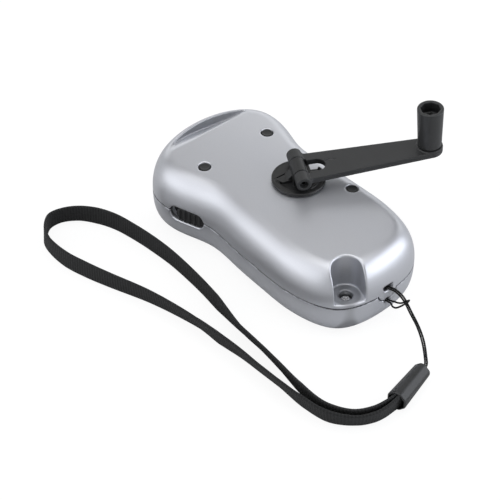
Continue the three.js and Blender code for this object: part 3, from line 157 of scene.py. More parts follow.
def loft(name, rings, run):
    """Closed skin through rings of equally many points, mapped by the distance along and the share round"""
    rings = np.asarray(rings, float)
    count, around = rings.shape[:2]
    here = list(range(around))
    after = here[1:] + here[:1]
    faces = [(i * around + a, i * around + b, (i + 1) * around + b, (i + 1) * around + a)
             for i in range(count - 1) for a, b in zip(here, after)]
    sides = len(faces)
    faces += [tuple(here)[::-1], tuple(range((count - 1) * around, count * around))]
    made = new_object(name, rings.reshape(-1, 3), faces)
    loops = made.data.loops
    index, later = np.zeros(len(loops), int), np.zeros(len(loops), int)
    loops.foreach_get("vertex_index", index)
    later[:4 * sides] = np.tile((0, 1, 1, 0), sides)
    side = index % around
    side = np.where((later == 1) & (side == 0), around, side)
    uv = np.stack([np.asarray(run)[index // around], side / around], 1)
    made.data.uv_layers.new(name="run").data.foreach_set("uv", uv.ravel())
    return made


def lathe(name, profile, centre, sides=56, axes=LEVEL):
    """Turned piece; the profile runs from the axis to the axis, and axes gives three unit vectors"""
    profile = np.asarray(profile, float)
    angles = np.arange(sides) * TURN / sides
    ring = np.stack([np.cos(angles), np.sin(angles)], 1)
    inner = profile[1:-1]
    points = [np.column_stack([ring * r, np.full(sides, z)]) for r, z in inner]
    points = np.concatenate(points + [[[0, 0, profile[0][1]]], [[0, 0, profile[-1][1]]]]) @ axes
    first, last, count = len(inner) * sides, len(inner) * sides + 1, len(inner)
    faces = []
    for k in range(sides):
        n = (k + 1) % sides
        faces += [(first, n, k), (last, (count - 1) * sides + k, (count - 1) * sides + n)]
        starts = [i * sides for i in range(count - 1)]
        faces += [(i + k, i + n, i + sides + n, i + sides + k) for i in starts]
    return new_object(name, points + np.asarray(centre, float), faces)


def settle(shape, points, reach):
    """Moves points onto the zero surface of a distance function"""
    step = 0.01
    for _ in range(3):
        here = shape(*points.T)
        slope = np.stack([shape(*(points + step * way).T) - here for way in LEVEL], 1) / step
        move = here[:, None] * slope / (np.sum(slope ** 2, 1)[:, None] + 1e-6)
        length = np.linalg.norm(move, axis=1)[:, None]
        points = points - move * np.minimum(1, reach / (length + 1e-9))
    return points


def skin(name, shape, low, high, cell, axes=LEVEL, origin=(0, 0, 0), relax=2):
    """Mesh of the zero surface of a distance function; axes and origin place it"""
    low = np.asarray(low, float) - 1.5 * cell
    count = np.ceil((np.asarray(high, float) + 1.5 * cell - low) / cell).astype(int) + 1
    line = [low[k] + cell * np.arange(count[k]) for k in range(3)]
    depth = np.ascontiguousarray(np.broadcast_to(shape(*np.ix_(*line)), count))
    inside = depth < 0
    stride = np.array([count[1] * count[2], count[2], 1])
    total = int(np.prod(count))
    weight, place, faces = np.zeros(total), np.zeros((3, total)), []
    for k in range(3):
        near, far = [slice(None)] * 3, [slice(None)] * 3
        near[k], far[k] = slice(0, -1), slice(1, None)
        near, far = tuple(near), tuple(far)
        crossed = inside[near] != inside[far]
        start = np.argwhere(crossed)
        share = depth[near][crossed] / (depth[near][crossed] - depth[far][crossed])
        point = start.astype(float)
        point[:, k] += share
        a, b = (k + 1) % 3, (k + 2) % 3
        cell_index = start @ stride
        aside, below = cell_index - stride[a], cell_index - stride[b]
        ring = [cell_index, aside, aside - stride[b], below]
        for index in ring:
            weight += np.bincount(index, minlength=total)
            for m in range(3):
                place[m] += np.bincount(index, point[:, m], minlength=total)
        quad = np.stack(ring, 1)
        flip = ~inside[near][crossed]
        quad[flip] = quad[flip][:, ::-1]
        faces.append(quad)
    used = np.flatnonzero(weight)
    renumber = np.zeros(total, int)
    renumber[used] = np.arange(len(used))
    faces = renumber[np.concatenate(faces)]
    points = low + cell * (place[:, used] / weight[used]).T
    points = settle(shape, points, cell / 2)
    for _ in range(relax):
        points = settle(shape, evened(points, faces), cell / 2)
    return new_object(name, points @ axes + np.asarray(origin, float), faces)


def evened(points, faces):
    """Each point moved towards the middle of its neighbours"""
    total, weight = np.zeros_like(points), np.zeros(len(points))
    corners = list(faces.T)
    for a, b in zip(corners, corners[1:] + corners[:1]):
        for one, other in ((a, b), (b, a)):
            weight += np.bincount(one, minlength=len(points))
            for m in range(3):
                total[:, m] += np.bincount(one, points[other, m], minlength=len(points))
    return 0.5 * points + 0.5 * total / weight[:, None]


# Distance functions

def common(*forms):
    """What lies in every one of the forms"""
    return functools.reduce(np.maximum, forms)


def joined(*forms):
    """What lies in any of the forms"""
    return functools.reduce(np.minimum, forms)


def both(a, b, radius):
    """What lies in both, with a rounded edge"""
    corner = np.hypot(np.maximum(a + radius, 0), np.maximum(b + radius, 0))
    return np.minimum(-radius, np.maximum(a, b)) + corner


def without(a, b, radius):
    return both(a, -b, radius)


def either(a, b, radius):
    """What lies in one or the other, with a filled corner"""
    return -both(-a, -b, radius)


def slab(value, middle, half):
    return np.abs(value - middle) - half


def layer(value, low, high):
    return slab(value, (low + high) / 2, (high - low) / 2)


def rod(x, y, z, centre, radius, low, high):
    return common(np.hypot(x - centre[0], y - centre[1]) - radius, layer(z, low, high))


def block(x, y, z, middle, size):
    gap = [slab(v, m, s / 2) for v, m, s in zip((x, y, z), middle, size)]
    return np.sqrt(sum(np.maximum(g, 0) ** 2 for g in gap)) + np.minimum(common(*gap), 0)


def stadium(along, across, half, radius):
    return np.hypot(np.maximum(np.abs(along) - half, 0), across) - radius


def outline_points():
    """Dense points on the closed cubic spline of the body's outline"""
    controls = np.array(OUTLINE + [(x, -y) for x, y in OUTLINE[-2:0:-1]], float)
    t = np.linspace(0, 1, 24, endpoint=False)[:, None]
    weights = [(1 - t) ** 3 / 6, (3 * t ** 3 - 6 * t ** 2 + 4) / 6,
               (-3 * t ** 3 + 3 * t ** 2 + 3 * t + 1) / 6, t ** 3 / 6]
    return np.concatenate([sum(w * np.roll(controls, -i - k, 0)[0] for k, w in enumerate(weights))
                           for i in range(len(controls))])


INSET_STEP, INSET_X, INSET_Y = 0.5, 60.0, 36.0


def inset_table():
    """Distance inside the outline on a grid, positive inside"""
    loop = outline_points()
    line, aside = (np.arange(-reach, reach + 0.1, INSET_STEP) for reach in (INSET_X, INSET_Y))
    x, y = np.meshgrid(line, aside, indexing="ij")
    best, crossings = np.full(x.shape, 1e9), np.zeros(x.shape, int)
    for (ax, ay), (bx, by) in zip(loop, np.roll(loop, -1, 0)):
        dx, dy = bx - ax, by - ay
        share = np.clip(((x - ax) * dx + (y - ay) * dy) / (dx * dx + dy * dy), 0, 1)
        best = np.minimum(best, np.hypot(x - ax - share * dx, y - ay - share * dy))
        if ay != by:
            crossings += ((ay > y) != (by > y)) & (x < ax + (y - ay) * dx / dy)
    return np.where(crossings % 2 == 1, best, -best)


INSETS = inset_table()


def cubic_weights(t):
    return [(-t ** 3 + 2 * t ** 2 - t) / 2, (3 * t ** 3 - 5 * t ** 2 + 2) / 2,
            (-3 * t ** 3 + 4 * t ** 2 + t) / 2, (t ** 3 - t ** 2) / 2]


def inset_at(x, y):
    """Smooth lookup of the distance inside the outline"""
    u = (np.clip(x, -INSET_X + 2, INSET_X - 2) + INSET_X) / INSET_STEP
    v = (np.clip(y, -INSET_Y + 2, INSET_Y - 2) + INSET_Y) / INSET_STEP
    i, j = np.floor(u).astype(int), np.floor(v).astype(int)
    wx, wy = cubic_weights(u - i), cubic_weights(v - j)
    return sum(wx[a] * wy[b] * INSETS[i + a - 1, j + b - 1] for a in range(4) for b in range(4))


def rounded_skin(inset, rise, height, round_width, power):
    """Distance to a skin that turns over from a straight wall to a level top along a power curve"""
    a = np.maximum(1 - inset / round_width, 0)
    v = np.maximum(rise / height, 1e-4)
    size = (a ** power + v ** power) ** (1 / power)
    slope = np.hypot(a ** (power - 1) / round_width, v ** (power - 1) / height) / size ** (power - 1)
    return (size - 1) / np.maximum(slope, 1e-6)


def top_height(x, y):
    return BODY_HEIGHT + TOP_RISE * x / HALF_LENGTH - TOP_CROWN * (y / HALF_WIDTH) ** 2


def upper_skin(inset, x, y, z, wall):
    return rounded_skin(inset - wall, z - PARTING, top_height(x, y) - wall - PARTING, TOP_ROUND, TOP_POWER)


def lower_skin(inset, z, wall):
    return rounded_skin(inset - wall, PARTING - z, PARTING - wall, BASE_ROUND, BASE_POWER)


def recess_plan(x, y):
    dx, dy = x - RECESS[0], y - RECESS[1]
    out = dx * math.cos(RECESS_ANGLE) + dy * math.sin(RECESS_ANGLE)
    across = dy * math.cos(RECESS_ANGLE) - dx * math.sin(RECESS_ANGLE)
    return np.hypot(np.minimum(out, 0), across) - RECESS_RADIUS


def scoop(inset, x, y, z):
    """Thumb scoop: a floor that falls towards the lamp end, more steeply on the far side"""
    slope = SCOOP_SLOPE + SCOOP_TWIST * np.clip(4 - y, -8, 22)
    floor = (top_height(SCOOP_START, 0) - slope * (x - SCOOP_START) - z) / np.hypot(1, slope)
    return both(both(floor, SCOOP_RIM - inset, 0.5), SCOOP_START - x, 0.3)


def eye_block(x, y, z):
    deep = EYE_RING + EYE_HEIGHT / 2 + WALL
    return block(x, y, z, (deep / 2 - HALF_LENGTH, EYE[1], EYE[2]), (deep, EYE_WIDTH + 2 * WALL, 2 * deep))


def eye_tunnel(x, y, z):
    """Curved tunnel behind the eye's bridge, narrower at its lower mouth"""
    ring = slab(np.hypot(x - EYE[0], z - EYE[2]), EYE_RING, EYE_HEIGHT / 2)
    half = 1.05 + 1.2 * np.clip((z - EYE[2]) / 4, 0, 1)
    return both(ring, np.abs(y - EYE[1]) - half, OPENING_EDGE)


def tab_disc(y, z):
    return np.hypot(y - EYE[1], z - TAB_HEIGHT) - TAB_RADIUS


def lens_opening(y, z, grow=0.0):
    return stadium(y, z - PARTING, LENS_HALF - LENS_HEIGHT / 2, LENS_HEIGHT / 2 + grow)


def switch_place(x, y):
    """Distance along the wall and out of it from the middle of the switch"""
    dx, dy = x - SWITCH[0], y - SWITCH[1]
    return dx * SWITCH_ALONG[0] + dy * SWITCH_ALONG[1], dx * SWITCH_OUT[0] + dy * SWITCH_OUT[1]


def shell_openings(shell, x, y, z):
    """A half without the switch window and the lens opening, which both halves share"""
    along, out = switch_place(x, y)
    window = common(stadium(along, z - SWITCH_HEIGHT, 4.2, 2.95), np.abs(out) - 4.5)
    shell = without(shell, window, OPENING_EDGE)
    return without(shell, common(lens_opening(y, z), LENS_ROOM - x), OPENING_EDGE)


def upper_outer(inset, x, y, z, dip, recess):
    """Outside of the upper half with its scoop and tail recess"""
    outer = both(upper_skin(inset, x, y, z, 0), UPPER_START - z, RIM_EDGE)
    outer = without(outer, dip, 0.45)
    return without(outer, both(recess, RECESS_FLOOR - z, 0.35), 0.6)


def upper_shell_form(x, y, z):
    """Upper half: its skin, the collar of the hub, bosses, posts and rebate, then the tab and the bores"""
    inset, recess = inset_at(x, y), recess_plan(x, y)
    dip = scoop(inset, x, y, z)
    posts = [rod(x, y, z, centre, POST_RADIUS, UPPER_START, ABOVE) for centre in PLUGS]
    blocks = joined(recess - RECESS_WALL, eye_block(x, y, z), *posts)
    bosses = [rod(x, y, z, centre, AXLE_BOSS, low + FIT, ABOVE) for centre, low in AXLE_BORES]
    collar = rod(x, y, z, HUB, COLLAR, COLLAR_LOW, ABOVE)
    cavity = upper_skin(inset, x, y, z, WALL)
    filled = joined(-cavity, blocks, dip - WALL, collar, *bosses)
    shell = common(upper_outer(inset, x, y, z, dip, recess), filled)
    rebate = common(0.9 - inset, z - UPPER_START - 1.7)
    shell = common(shell, joined(-rebate, blocks))
    shell = without(shell, rod(x, y, z, HUB, JOURNAL + FIT, 20, ABOVE), 0.3)
    for centre, low in AXLE_BORES:
        shell = common(shell, -rod(x, y, z, centre, AXLE_BORE, low, 25.6))
    for centre in PLUGS:
        shell = without(shell, rod(x, y, z, centre, PLUG_HOLE, POST_FLOOR, ABOVE), BORE_EDGE)
        shell = common(shell, -rod(x, y, z, centre, SCREW_BORE, 5, POST_FLOOR + 1))
    shell = shell_openings(shell, x, y, z)
    tab = both(tab_disc(y, z), common(z - TAB_HEIGHT - FIT, x - TAB_START), 0.2)
    boss = rod(x, y, z, RECESS, LOW_POST, UPPER_START - BOSS_DROP, UPPER_START + 0.4)
    shell = joined(shell, common(tab, lower_skin(inset, z, 0)), boss)
    shell = without(shell, eye_tunnel(x, y, z), EYE_EDGE)
    shell = common(shell, -rod(x, y, z, RECESS, SCREW_BORE, 5, 15.5))
    return without(shell, rod(x, y, z, RECESS, PLUG_HOLE, RECESS_FLOOR - COUNTERBORE, ABOVE), BORE_EDGE)


def beside(place, degrees, reach):
    """The place at a distance from another; 0 degrees is towards the lamp end, 90 towards the switch side"""
    angle = math.radians(degrees)
    return place[0] + reach * math.cos(angle), place[1] + reach * math.sin(angle)


def lower_inside(x, y, z):
    """Posts, legs, ribs and seats that stand on the floor of the lower half"""
    legs = [beside(ROTOR, 100, 11.6), beside(ROTOR, -20, 11.6), beside(AXLE_ONE, -30, 4.4)]
    pegs = [(26.4, 4), (26.4, -4)]
    posts = (PLUGS + [RECESS], LOW_POST, LOWER_END), (legs, LEG, 11.5), ([ROTOR], LEG, 3.6), (pegs, 2, 4.6)
    forms = [rod(x, y, z, centre, radius, 1, top) for centres, radius, top in posts for centre in centres]
    stator_seat = slab(np.hypot(x - ROTOR[0], y - ROTOR[1]), 6.55, 1.15)
    forms.append(common(stator_seat, layer(z, 1, 3.8)))
    for place, top in ((40.7, 7.7), (32.5, 9.5), (35.9, 9.5), (34.2, 7.6)):
        forms.append(block(x, y, z, (place, 0, (1 + top) / 2), (1.6, 19.4, top - 1)))
    cells, cell_room = (13.6, 0.5, 10.0), 8.0
    for side in (1, -1):
        rib = block(x, y, z, (cells[0], cells[1] + side * 4.35, 5.35), (16, 1.6, 8.7))
        forms.append(common(rib, cell_room - np.hypot(x - cells[0], z - cells[2])))
    along, out = switch_place(x, y)
    forms.append(block(along, out, z, (0, -6.25, 6.05), (4.2, 2.7, 10.1)))
    return joined(*forms, eye_block(x, y, z))


def lower_shell_form(x, y, z):
    """Lower half: its skin, the inside, the locating lip, then the bores, the switch's room and the tab's"""
    inset, recess = inset_at(x, y), recess_plan(x, y)
    outer = both(lower_skin(inset, z, 0), z - LOWER_END, RIM_EDGE)
    shell = common(outer, joined(-lower_skin(inset, z, WALL), lower_inside(x, y, z)))
    lip = common(slab(inset, 1.675, 0.475), slab(z, LOWER_END, 1.4))
    posts = [rod(x, y, z, centre, POST_RADIUS + FIT, LOWER_END, UP_THROUGH) for centre in PLUGS]
    clear = joined(common(recess - RECESS_WALL - FIT, LOWER_END - z), eye_block(x, y, z) - FIT, *posts)
    shell = joined(shell, common(lip, -clear))
    for centre in PLUGS + [RECESS]:
        shell = common(shell, -rod(x, y, z, centre, SCREW_BORE, 2, UP_THROUGH))
    boss_room = rod(x, y, z, RECESS, POST_RADIUS + FIT, LOWER_END - BOSS_DROP, UP_THROUGH)
    shell = common(shell, -boss_room, -rod(x, y, z, ROTOR, AXLE_BORE, 2, 5))
    shell = shell_openings(shell, x, y, z)
    along, out = switch_place(x, y)
    shell = common(shell, -common(stadium(along, z - PARTING, 5.6, 4.2), slab(out, -5.2, 2.3)))
    shell = without(shell, common(tab_disc(y, z) - 1.5 * FIT, x - TAB_START), 0.15)
    return without(shell, eye_tunnel(x, y, z), EYE_EDGE)


# Crank

ARM_ALONG = (KNOB_PLACE - PIN_PLACE) / ARM_LENGTH
ARM_ASIDE = -np.array(joints["arm_fold"]["axis"])
ARM_AXES = np.array([ARM_ALONG, ARM_ASIDE, np.cross(ARM_ALONG, ARM_ASIDE)])
HUB_AXES = np.array([[ARM_ASIDE[1], -ARM_ASIDE[0], 0], ARM_ASIDE, [0, 0, 1]])
HINGE_BORE, HINGE_EDGE = PIN_RADIUS + 0.2, 0.15


def slanted(x, y, corner, way):
    """Distance past a line through a corner, to the right of the way it runs"""
    size = math.hypot(*way)
    return ((x - corner[0]) * way[1] - (y - corner[1]) * way[0]) / size


def hub_form(x, y, z):
    """Hub disc with its rim, tongue, ledges, hinge lug and notch, and the journal below; Z from the floor"""
    radius = np.hypot(x, y)
    disc = both(radius - HUB_RADIUS, layer(z, HUB_LOW, HUB_TOP), 0.25)
    hub = without(disc, both(radius - 8.75, HUB_FLOOR - 0.25 - z, 0.15), 0.12)
    tongue = common(slanted(x, y, (-3.7, 2.2), (-4.5, -2.2)), slanted(x, y, (-8.2, 0), (2.2, -2.2)),
                    slanted(x, y, (-6.0, -2.2), (3.0, 0.6)), x + 1)
    tongue = both(tongue, slab(z, 29.5, 0.8), 0.14)
    sector = common(-slanted(x, y, (-3.95, 3.0), (-4.5, -2.2)), radius - 9, x + 1)
    sector = both(sector, slab(z, 29.3, 0.55), 0.1)
    ledge = both(slab(radius, 7.2, 0.42), slab(z, 29.4, 0.7), 0.14)
    fence = both(slab(radius, 8.0, 0.75), slab(z, 29.4, 0.35), 0.1)
    hub = either(hub, joined(tongue, sector, common(ledge, 2.6 - x, y + 1.5), common(fence, y - 1)), 0.08)
    web = common(slab(y, 0.35, 1.85), -(x + 4.6), x + 1.5, 29 - z)
    hub = either(hub, both(web, (z - 30.3 - 1.1 * (x + 4.6)) / 1.49, 0.25), 0.15)
    from_pin = np.hypot(x, z - PIN_HEIGHT)
    lug = common(np.abs(x) - EAR_RADIUS, HUB_FLOOR - FIT - z, z - PIN_HEIGHT)
    lug = joined(lug, from_pin - EAR_RADIUS)
    hub = either(hub, both(lug, np.abs(y) - LUG_HALF, 0.3), 0.2)
    hub = without(hub, common(5.2 - x, 4.2 - y, HUB_LOW - 0.1 - z), 0.2)
    journal = common(radius - JOURNAL, slab(z, 26.6, 2.45))
    spigot = common(np.abs(x), np.abs(x) / 2 + np.abs(y) * 0.866) - 3.1
    hub = joined(hub, journal, common(spigot, slab(z, 23, 1.3)))
    hub = common(hub, -rod(x, y, z, (0, 0), SCREW_BORE, 20, 27.4))
    return without(hub, from_pin - HINGE_BORE, HINGE_EDGE)


def arm_plan(x, y):
    """Distance outside the arm's plate: a taper with a round end, wider at the ears"""
    slope = (PLATE_START - PLATE_END) / (ARM_LENGTH - EAR_HOLLOW)
    taper = (np.abs(y) - PLATE_START + slope * (x - EAR_HOLLOW)) / math.hypot(1, slope)
    plate = np.where(x > ARM_LENGTH, np.hypot(x - ARM_LENGTH, y) - PLATE_END, taper)
    root = common(np.abs(y) - EAR_OUT + 0.5, x - 2.2)
    return common(either(plate, root, 1.6), -x)


def arm_slot(x, y):
    """Fork slot: wide round the lug, narrower beyond it"""
    narrow = np.hypot(np.maximum(x - 6.3, 0), y) - 3.1
    wide = both(np.abs(y) - LUG_HALF - FIT, x - EAR_RADIUS - 2 * FIT, 0.3)
    return joined(narrow, wide)


def arm_form(x, y, z):
    """Plate with fork, ears and the knob's post, a curved mark on top and a groove round its side"""
    plan, slot = arm_plan(x, y), arm_slot(x, y)
    plate = both(plan, layer(z, PLATE_LOW, PLATE_TOP), 0.28)
    ears = both(np.hypot(x, z) - EAR_RADIUS, layer(np.abs(y), LUG_HALF + FIT, EAR_OUT), 0.35)
    arm = common(either(without(plate, slot, 0.2), ears, 0.5), -slot)
    out = np.hypot(x - ARM_LENGTH, y)
    arm = either(arm, both(out - PLATE_END + 0.05, layer(z, 0, 1.2), 0.15), 0.15)
    arm = joined(arm, both(out - 1.9, layer(z, 0.1, 6.1), 0.2))
    arm = common(arm, -rod(x, y, z, (ARM_LENGTH, 0), 1.2, -0.01, 8))
    mark = common(np.hypot(np.hypot(x - 11.4, y - 0.2) - 1.85, z - PLATE_TOP) - 0.3, 0.9 - y)
    groove = common(np.hypot(plan, z - PLATE_LOW - 1.2) - 0.22, 7 - x)
    arm = without(without(arm, mark, 0.08), groove, 0.08)
    bore = HINGE_BORE + 0.3 * np.clip(np.abs(y) - EAR_OUT + 1.4, 0, 1)
    return without(arm, np.hypot(x, z) - bore, HINGE_EDGE)


def knob_form(x, y, z):
    """Hollow knob round its own axis; Z from the arm's middle plane"""
    radius, wide, deep = np.hypot(x, y), np.abs(x), np.abs(y)
    side = radius - (KNOB_BASE + (KNOB_TOP - KNOB_BASE) * (z - KNOB_LOW) / (KNOB_HIGH - KNOB_LOW))
    knob = both(side, layer(z, KNOB_LOW, KNOB_HIGH), 0.35)
    bore = common(wide, deep, (wide + deep) * math.sqrt(0.5)) - 3.25
    knob = without(knob, both(bore, KNOB_HIGH - 4.2 - z, 0.3), 0.3)
    knob = without(knob, both(bore + 0.7, KNOB_FLOOR - z, 0.3), 0.15)
    return without(knob, radius - 2.2, 0.15)


def pin_form(x, y, z):
    """Rolled hinge pin with its slit; Y along the pin"""
    tube = both(slab(np.hypot(x, z), 0.8, 0.2), np.abs(y) - EAR_OUT + 1.1, 0.08)
    return common(tube, -common(np.abs(x) - 0.12, z))


def slider_form(x, y, z):
    """Switch slider; X along the wall, Y outwards, Z from the slider's own middle"""
    rib_step = 2.1
    cap = both(stadium(x, z, 3.0, 2.7), slab(y, -2.25, 1.65), 0.3)
    cap = both(cap, 14.95 - np.hypot(x, y - 14.6), 0.2)
    ribs = slab(x, rib_step * np.clip(np.round(x / rib_step), -2, 2), 0.35)
    ribs = both(common(ribs, stadium(x, z, 3.0, 2.45)), slab(y, -1.1, 1.0), 0.22)
    flange = both(stadium(x, z, 4.5, 3.9), slab(y, -3.9, 0.4), 0.15)
    tongue = common(np.abs(x) - 0.8, np.abs(z) - 0.8, slab(y, -5.0, 1.5))
    return joined(either(cap, ribs, 0.15), flange, tongue)


def screw_form(head_radius, head_height, shank_radius, length):
    """Cross-head screw with a thread; Z from the seat of its head"""
    def form(x, y, z):
        radius = np.hypot(x, y)
        side = radius - head_radius
        head = both(side, layer(z, 0, head_height), 0.6 * head_height)
        head = joined(head, both(side, layer(z, 0, head_height / 2), 0.1))
        turn = np.arctan2(y, x) / TURN
        thread = 0.14 * (1 - 2 * np.abs(2 * np.mod(z / 0.8 - turn, 1) - 1)) - 0.1
        tip = np.maximum(0, -(z + length - 1.2)) * 0.6
        shank = common((radius - shank_radius - thread + tip) * 0.75, layer(z, 0.1 - length, 0.1))
        arms = [common(np.abs(one) - 0.3, np.abs(other) - 0.62 * head_radius)
                for one, other in ((x, y), (y, x))]
        cross = joined(*arms) + 0.22 * np.maximum(head_height - z, 0)
        return without(joined(head, shank), common(cross, head_height - 1.0 - z), 0.06)
    return form


def make_screw(name, centre, head_radius, head_height, shank_radius, length, cell=0.14, axes=LEVEL):
    size = head_radius
    return skin(name, screw_form(head_radius, head_height, shank_radius, length), (-size, -size, -length),
                (size, size, head_height), cell, axes=axes, origin=centre, relax=1)


# Lanyard

STRAP = [(-82, 26.5), (-82.1, 30.9), (-81.2, 35.4), (-78.1, 40.6), (-70.3, 44.7), (-59.1, 45.2),
         (-46, 43.5), (-35.5, 42.4), (-25.5, 41.8), (-10.5, 39.7), (1, 38.2), (16.5, 37.2), (26, 37.5),
         (36, 38.5), (46, 40.4), (52.9, 43.4), (58.3, 47.6), (61.5, 53.1), (61.8, 58), (59.1, 61.7),
         (55.8, 64.2), (51, 65.7), (41.5, 65.7), (32, 63.5), (23, 60.7), (6, 55), (-13.7, 51), (-23, 50.4),
         (-34, 49.4), (-43, 49.2), (-52, 48.9), (-62.7, 48.7), (-73.3, 46.8), (-80.5, 41.3), (-83.3, 36),
         (-84, 31.8), (-83.7, 26.3)]
STRING_OUT = [(-26.73, 11.2, 3.35), (-26.05, 8.6, 3.35), (-25.45, 7, 3.35), (-22.6, 4.2, 3.35),
              (-17.15, -0.05, 3.6), (-11.7, -3.1, 4.4), (-6.7, -4.65, 6.1)]
STRING_ROUND_EYE = [(-4.1, -4.95, -4.1), (-2.9, -4.5, -2.4), (-1.9, -3.3, -0.2), (-1.05, -1.7, 1.8),
                    (-0.3, -0.5, 2.75), (0.6, 0, 2.9), (2.35, 0, 2.05), (3.2, 0, 0), (2.35, 0, -2.05),
                    (0.6, -0.1, -2.9), (-1, -1.2, -4), (-1.7, -1.4, -5.1), (-2.4, -2.3, -5.8),
                    (-3.4, -3.3, -5.1), (-4.4, -4.3, -3.9), (-4.85, -5.3, -3.3), (-4.4, -6.5, -3.5),
                    (-3.4, -6.4, -4.6), (-2.4, -4.7, -5.1), (-0.9, -2.6, -4.1), (0.6, -0.95, -2.9),
                    (2.35, -1, -2.05), (3.2, -1, 0), (2.35, -1, 2.05), (0.6, -1, 2.9), (-0.4, -1.35, 2.9),
                    (-1.3, -2.3, 2.15), (-2.15, -3.85, 0.15), (-3.05, -5.15, -2.15), (-4.2, -5.65, -4.05)]
STRING_BACK = [(-6.9, -5.35, 6.1), (-12, -3.7, 4.4), (-17.55, -0.65, 3.6), (-23, 3.7, 3.35),
               (-25.95, 6.5, 3.35), (-26.75, 8.4, 3.35), (-27.43, 11, 3.35)]
STRING = [(x - HALF_LENGTH, y, z + rise) for part, rise in
          ((STRING_OUT, 0), (STRING_ROUND_EYE, EYE[2]), (STRING_BACK, 0)) for x, y, z in part]
STRAP_LEANS = [15, 11, 12, 14, 15, 11, 19, 23, 22, 1, 1, -1, -3, -3, -4, -4, 3, 6, 2, 1, 6, 1, 3, 2, -2,
               -10, -19, -12, -18, -21, -22, -14, -14, -20, -16, -12, -8]
STRAP_WIDTH, STRAP_THICKNESS, STRAP_LOW, STRING_WIDTH = 7.2, 1.1, 0.25, 0.66
STRAP_MIDDLE, WEFT_STEP = STRAP_LOW + STRAP_WIDTH / 2, 1.08


def smooth_route(points, step):
    """Evenly spaced points on the smooth curve through a route, and the distance to each"""
    points = np.asarray(points, float)
    points = np.concatenate([[2 * points[0] - points[1]], points, [2 * points[-1] - points[-2]]])
    fine = []
    for p0, p1, p2, p3 in zip(points, points[1:], points[2:], points[3:]):
        d0, d1, d2 = (math.sqrt(np.linalg.norm(b - a)) for a, b in ((p0, p1), (p1, p2), (p2, p3)))
        m1 = ((p1 - p0) / d0 - (p2 - p0) / (d0 + d1) + (p2 - p1) / d1) * d1
        m2 = ((p2 - p1) / d1 - (p3 - p1) / (d1 + d2) + (p3 - p2) / d2) * d1
        t = np.linspace(0, 1, 40, endpoint=False)[:, None]
        late = 3 * t ** 2 - 2 * t ** 3
        fine.append((1 - late) * p1 + (t ** 3 - 2 * t ** 2 + t) * m1 + late * p2 + (t ** 3 - t ** 2) * m2)
    fine = np.concatenate(fine + [points[-2:-1]])
    run = np.concatenate([[0], np.cumsum(np.linalg.norm(np.diff(fine, axis=0), axis=1))])
    even = np.linspace(0, run[-1], max(2, int(run[-1] / step)) + 1)
    return np.stack([np.interp(even, run, fine[:, k]) for k in range(3)], 1), even


def make_strap():
    """Webbing band on its edge, leaning here and there, with a rib for every weft thread; its ends are in the
    sleeve"""
    first, last = (-81.7, 24.3), (-83.5, 23.8)
    route = [(x, y, STRAP_MIDDLE) for x, y in [first, *STRAP, last]]
    path, run = smooth_route(route, 0.27)
    chord = np.cumsum([0] + [math.dist(a, b) for a, b in zip(route, route[1:])])
    lean = np.radians(np.interp(run, chord * run[-1] / chord[-1], [7] + STRAP_LEANS + [-4]))
    path[:, 2] = STRAP_LOW + STRAP_WIDTH / 2 * np.cos(lean) + STRAP_THICKNESS / 2 * np.abs(np.sin(lean))
    tangent = np.gradient(path, axis=0)
    aside = np.stack([-tangent[:, 1], tangent[:, 0]], 1)
    aside /= np.linalg.norm(aside, axis=1)[:, None]
    across = np.column_stack([aside * np.cos(lean)[:, None], -np.sin(lean)])
    upwards = np.column_stack([aside * np.sin(lean)[:, None], np.cos(lean)])
    rise = np.concatenate([[-1], np.linspace(-0.96, 0.96, 15), [1]])
    face = (1 - np.abs(rise) ** 16) ** 0.5 * 0.55 + 0.45
    rings = []
    for point, sideways, upright, distance in zip(path, across, upwards, run):
        weft = 0.035 * math.cos(TURN * distance / WEFT_STEP)
        ring = []
        for side, order in ((1, 1), (-1, -1)):
            for r, full in zip(rise[::order], face[::order]):
                warp = 0.03 * math.cos(math.pi * 9 * r)
                half = (STRAP_THICKNESS / 2 - 0.06) * full + (side * weft + warp) * (abs(r) < 0.95)
                ring.append(point + sideways * side * half + upright * r * (STRAP_WIDTH / 2 - 0.02))
        rings.append(ring)
    strap = loft("strap_webbing", rings, run)
    return strap


def make_string():
    """Braided string, with strands wound both ways round the line"""
    path, run = smooth_route(STRING, 0.2)
    tangent = np.gradient(path, axis=0)
    tangent /= np.linalg.norm(tangent, axis=1)[:, None]
    side = np.cross(tangent[0], (0, 0, 1.0))
    side /= np.linalg.norm(side)
    angles = np.arange(14) * TURN / 14
    rings = []
    for point, along, distance in zip(path, tangent, run):
        side = side - along * np.dot(side, along)
        side /= np.linalg.norm(side)
        other = np.cross(along, side)
        twist = TURN * distance / 1.6
        braid = 0.045 * np.abs(np.sin(2 * angles + twist)) * np.abs(np.sin(2 * angles - twist))
        reach = STRING_WIDTH / 2 - 0.03 + braid
        rings.append(point + np.outer(reach * np.cos(angles), side) + np.outer(reach * np.sin(angles), other))
    string = loft("lanyard_braid", rings, run)
    return string


SLEEVE_START, SLEEVE_END = np.array([-78.5, 9.0, 0]), np.array([-83.2, 26.2, 0])
SLEEVE_LENGTH = float(np.linalg.norm(SLEEVE_END - SLEEVE_START))
SLEEVE_ALONG = (SLEEVE_END - SLEEVE_START) / SLEEVE_LENGTH
SLEEVE_AXES = np.array([SLEEVE_ALONG, np.cross((0, 0, 1.0), SLEEVE_ALONG), (0, 0, 1.0)])


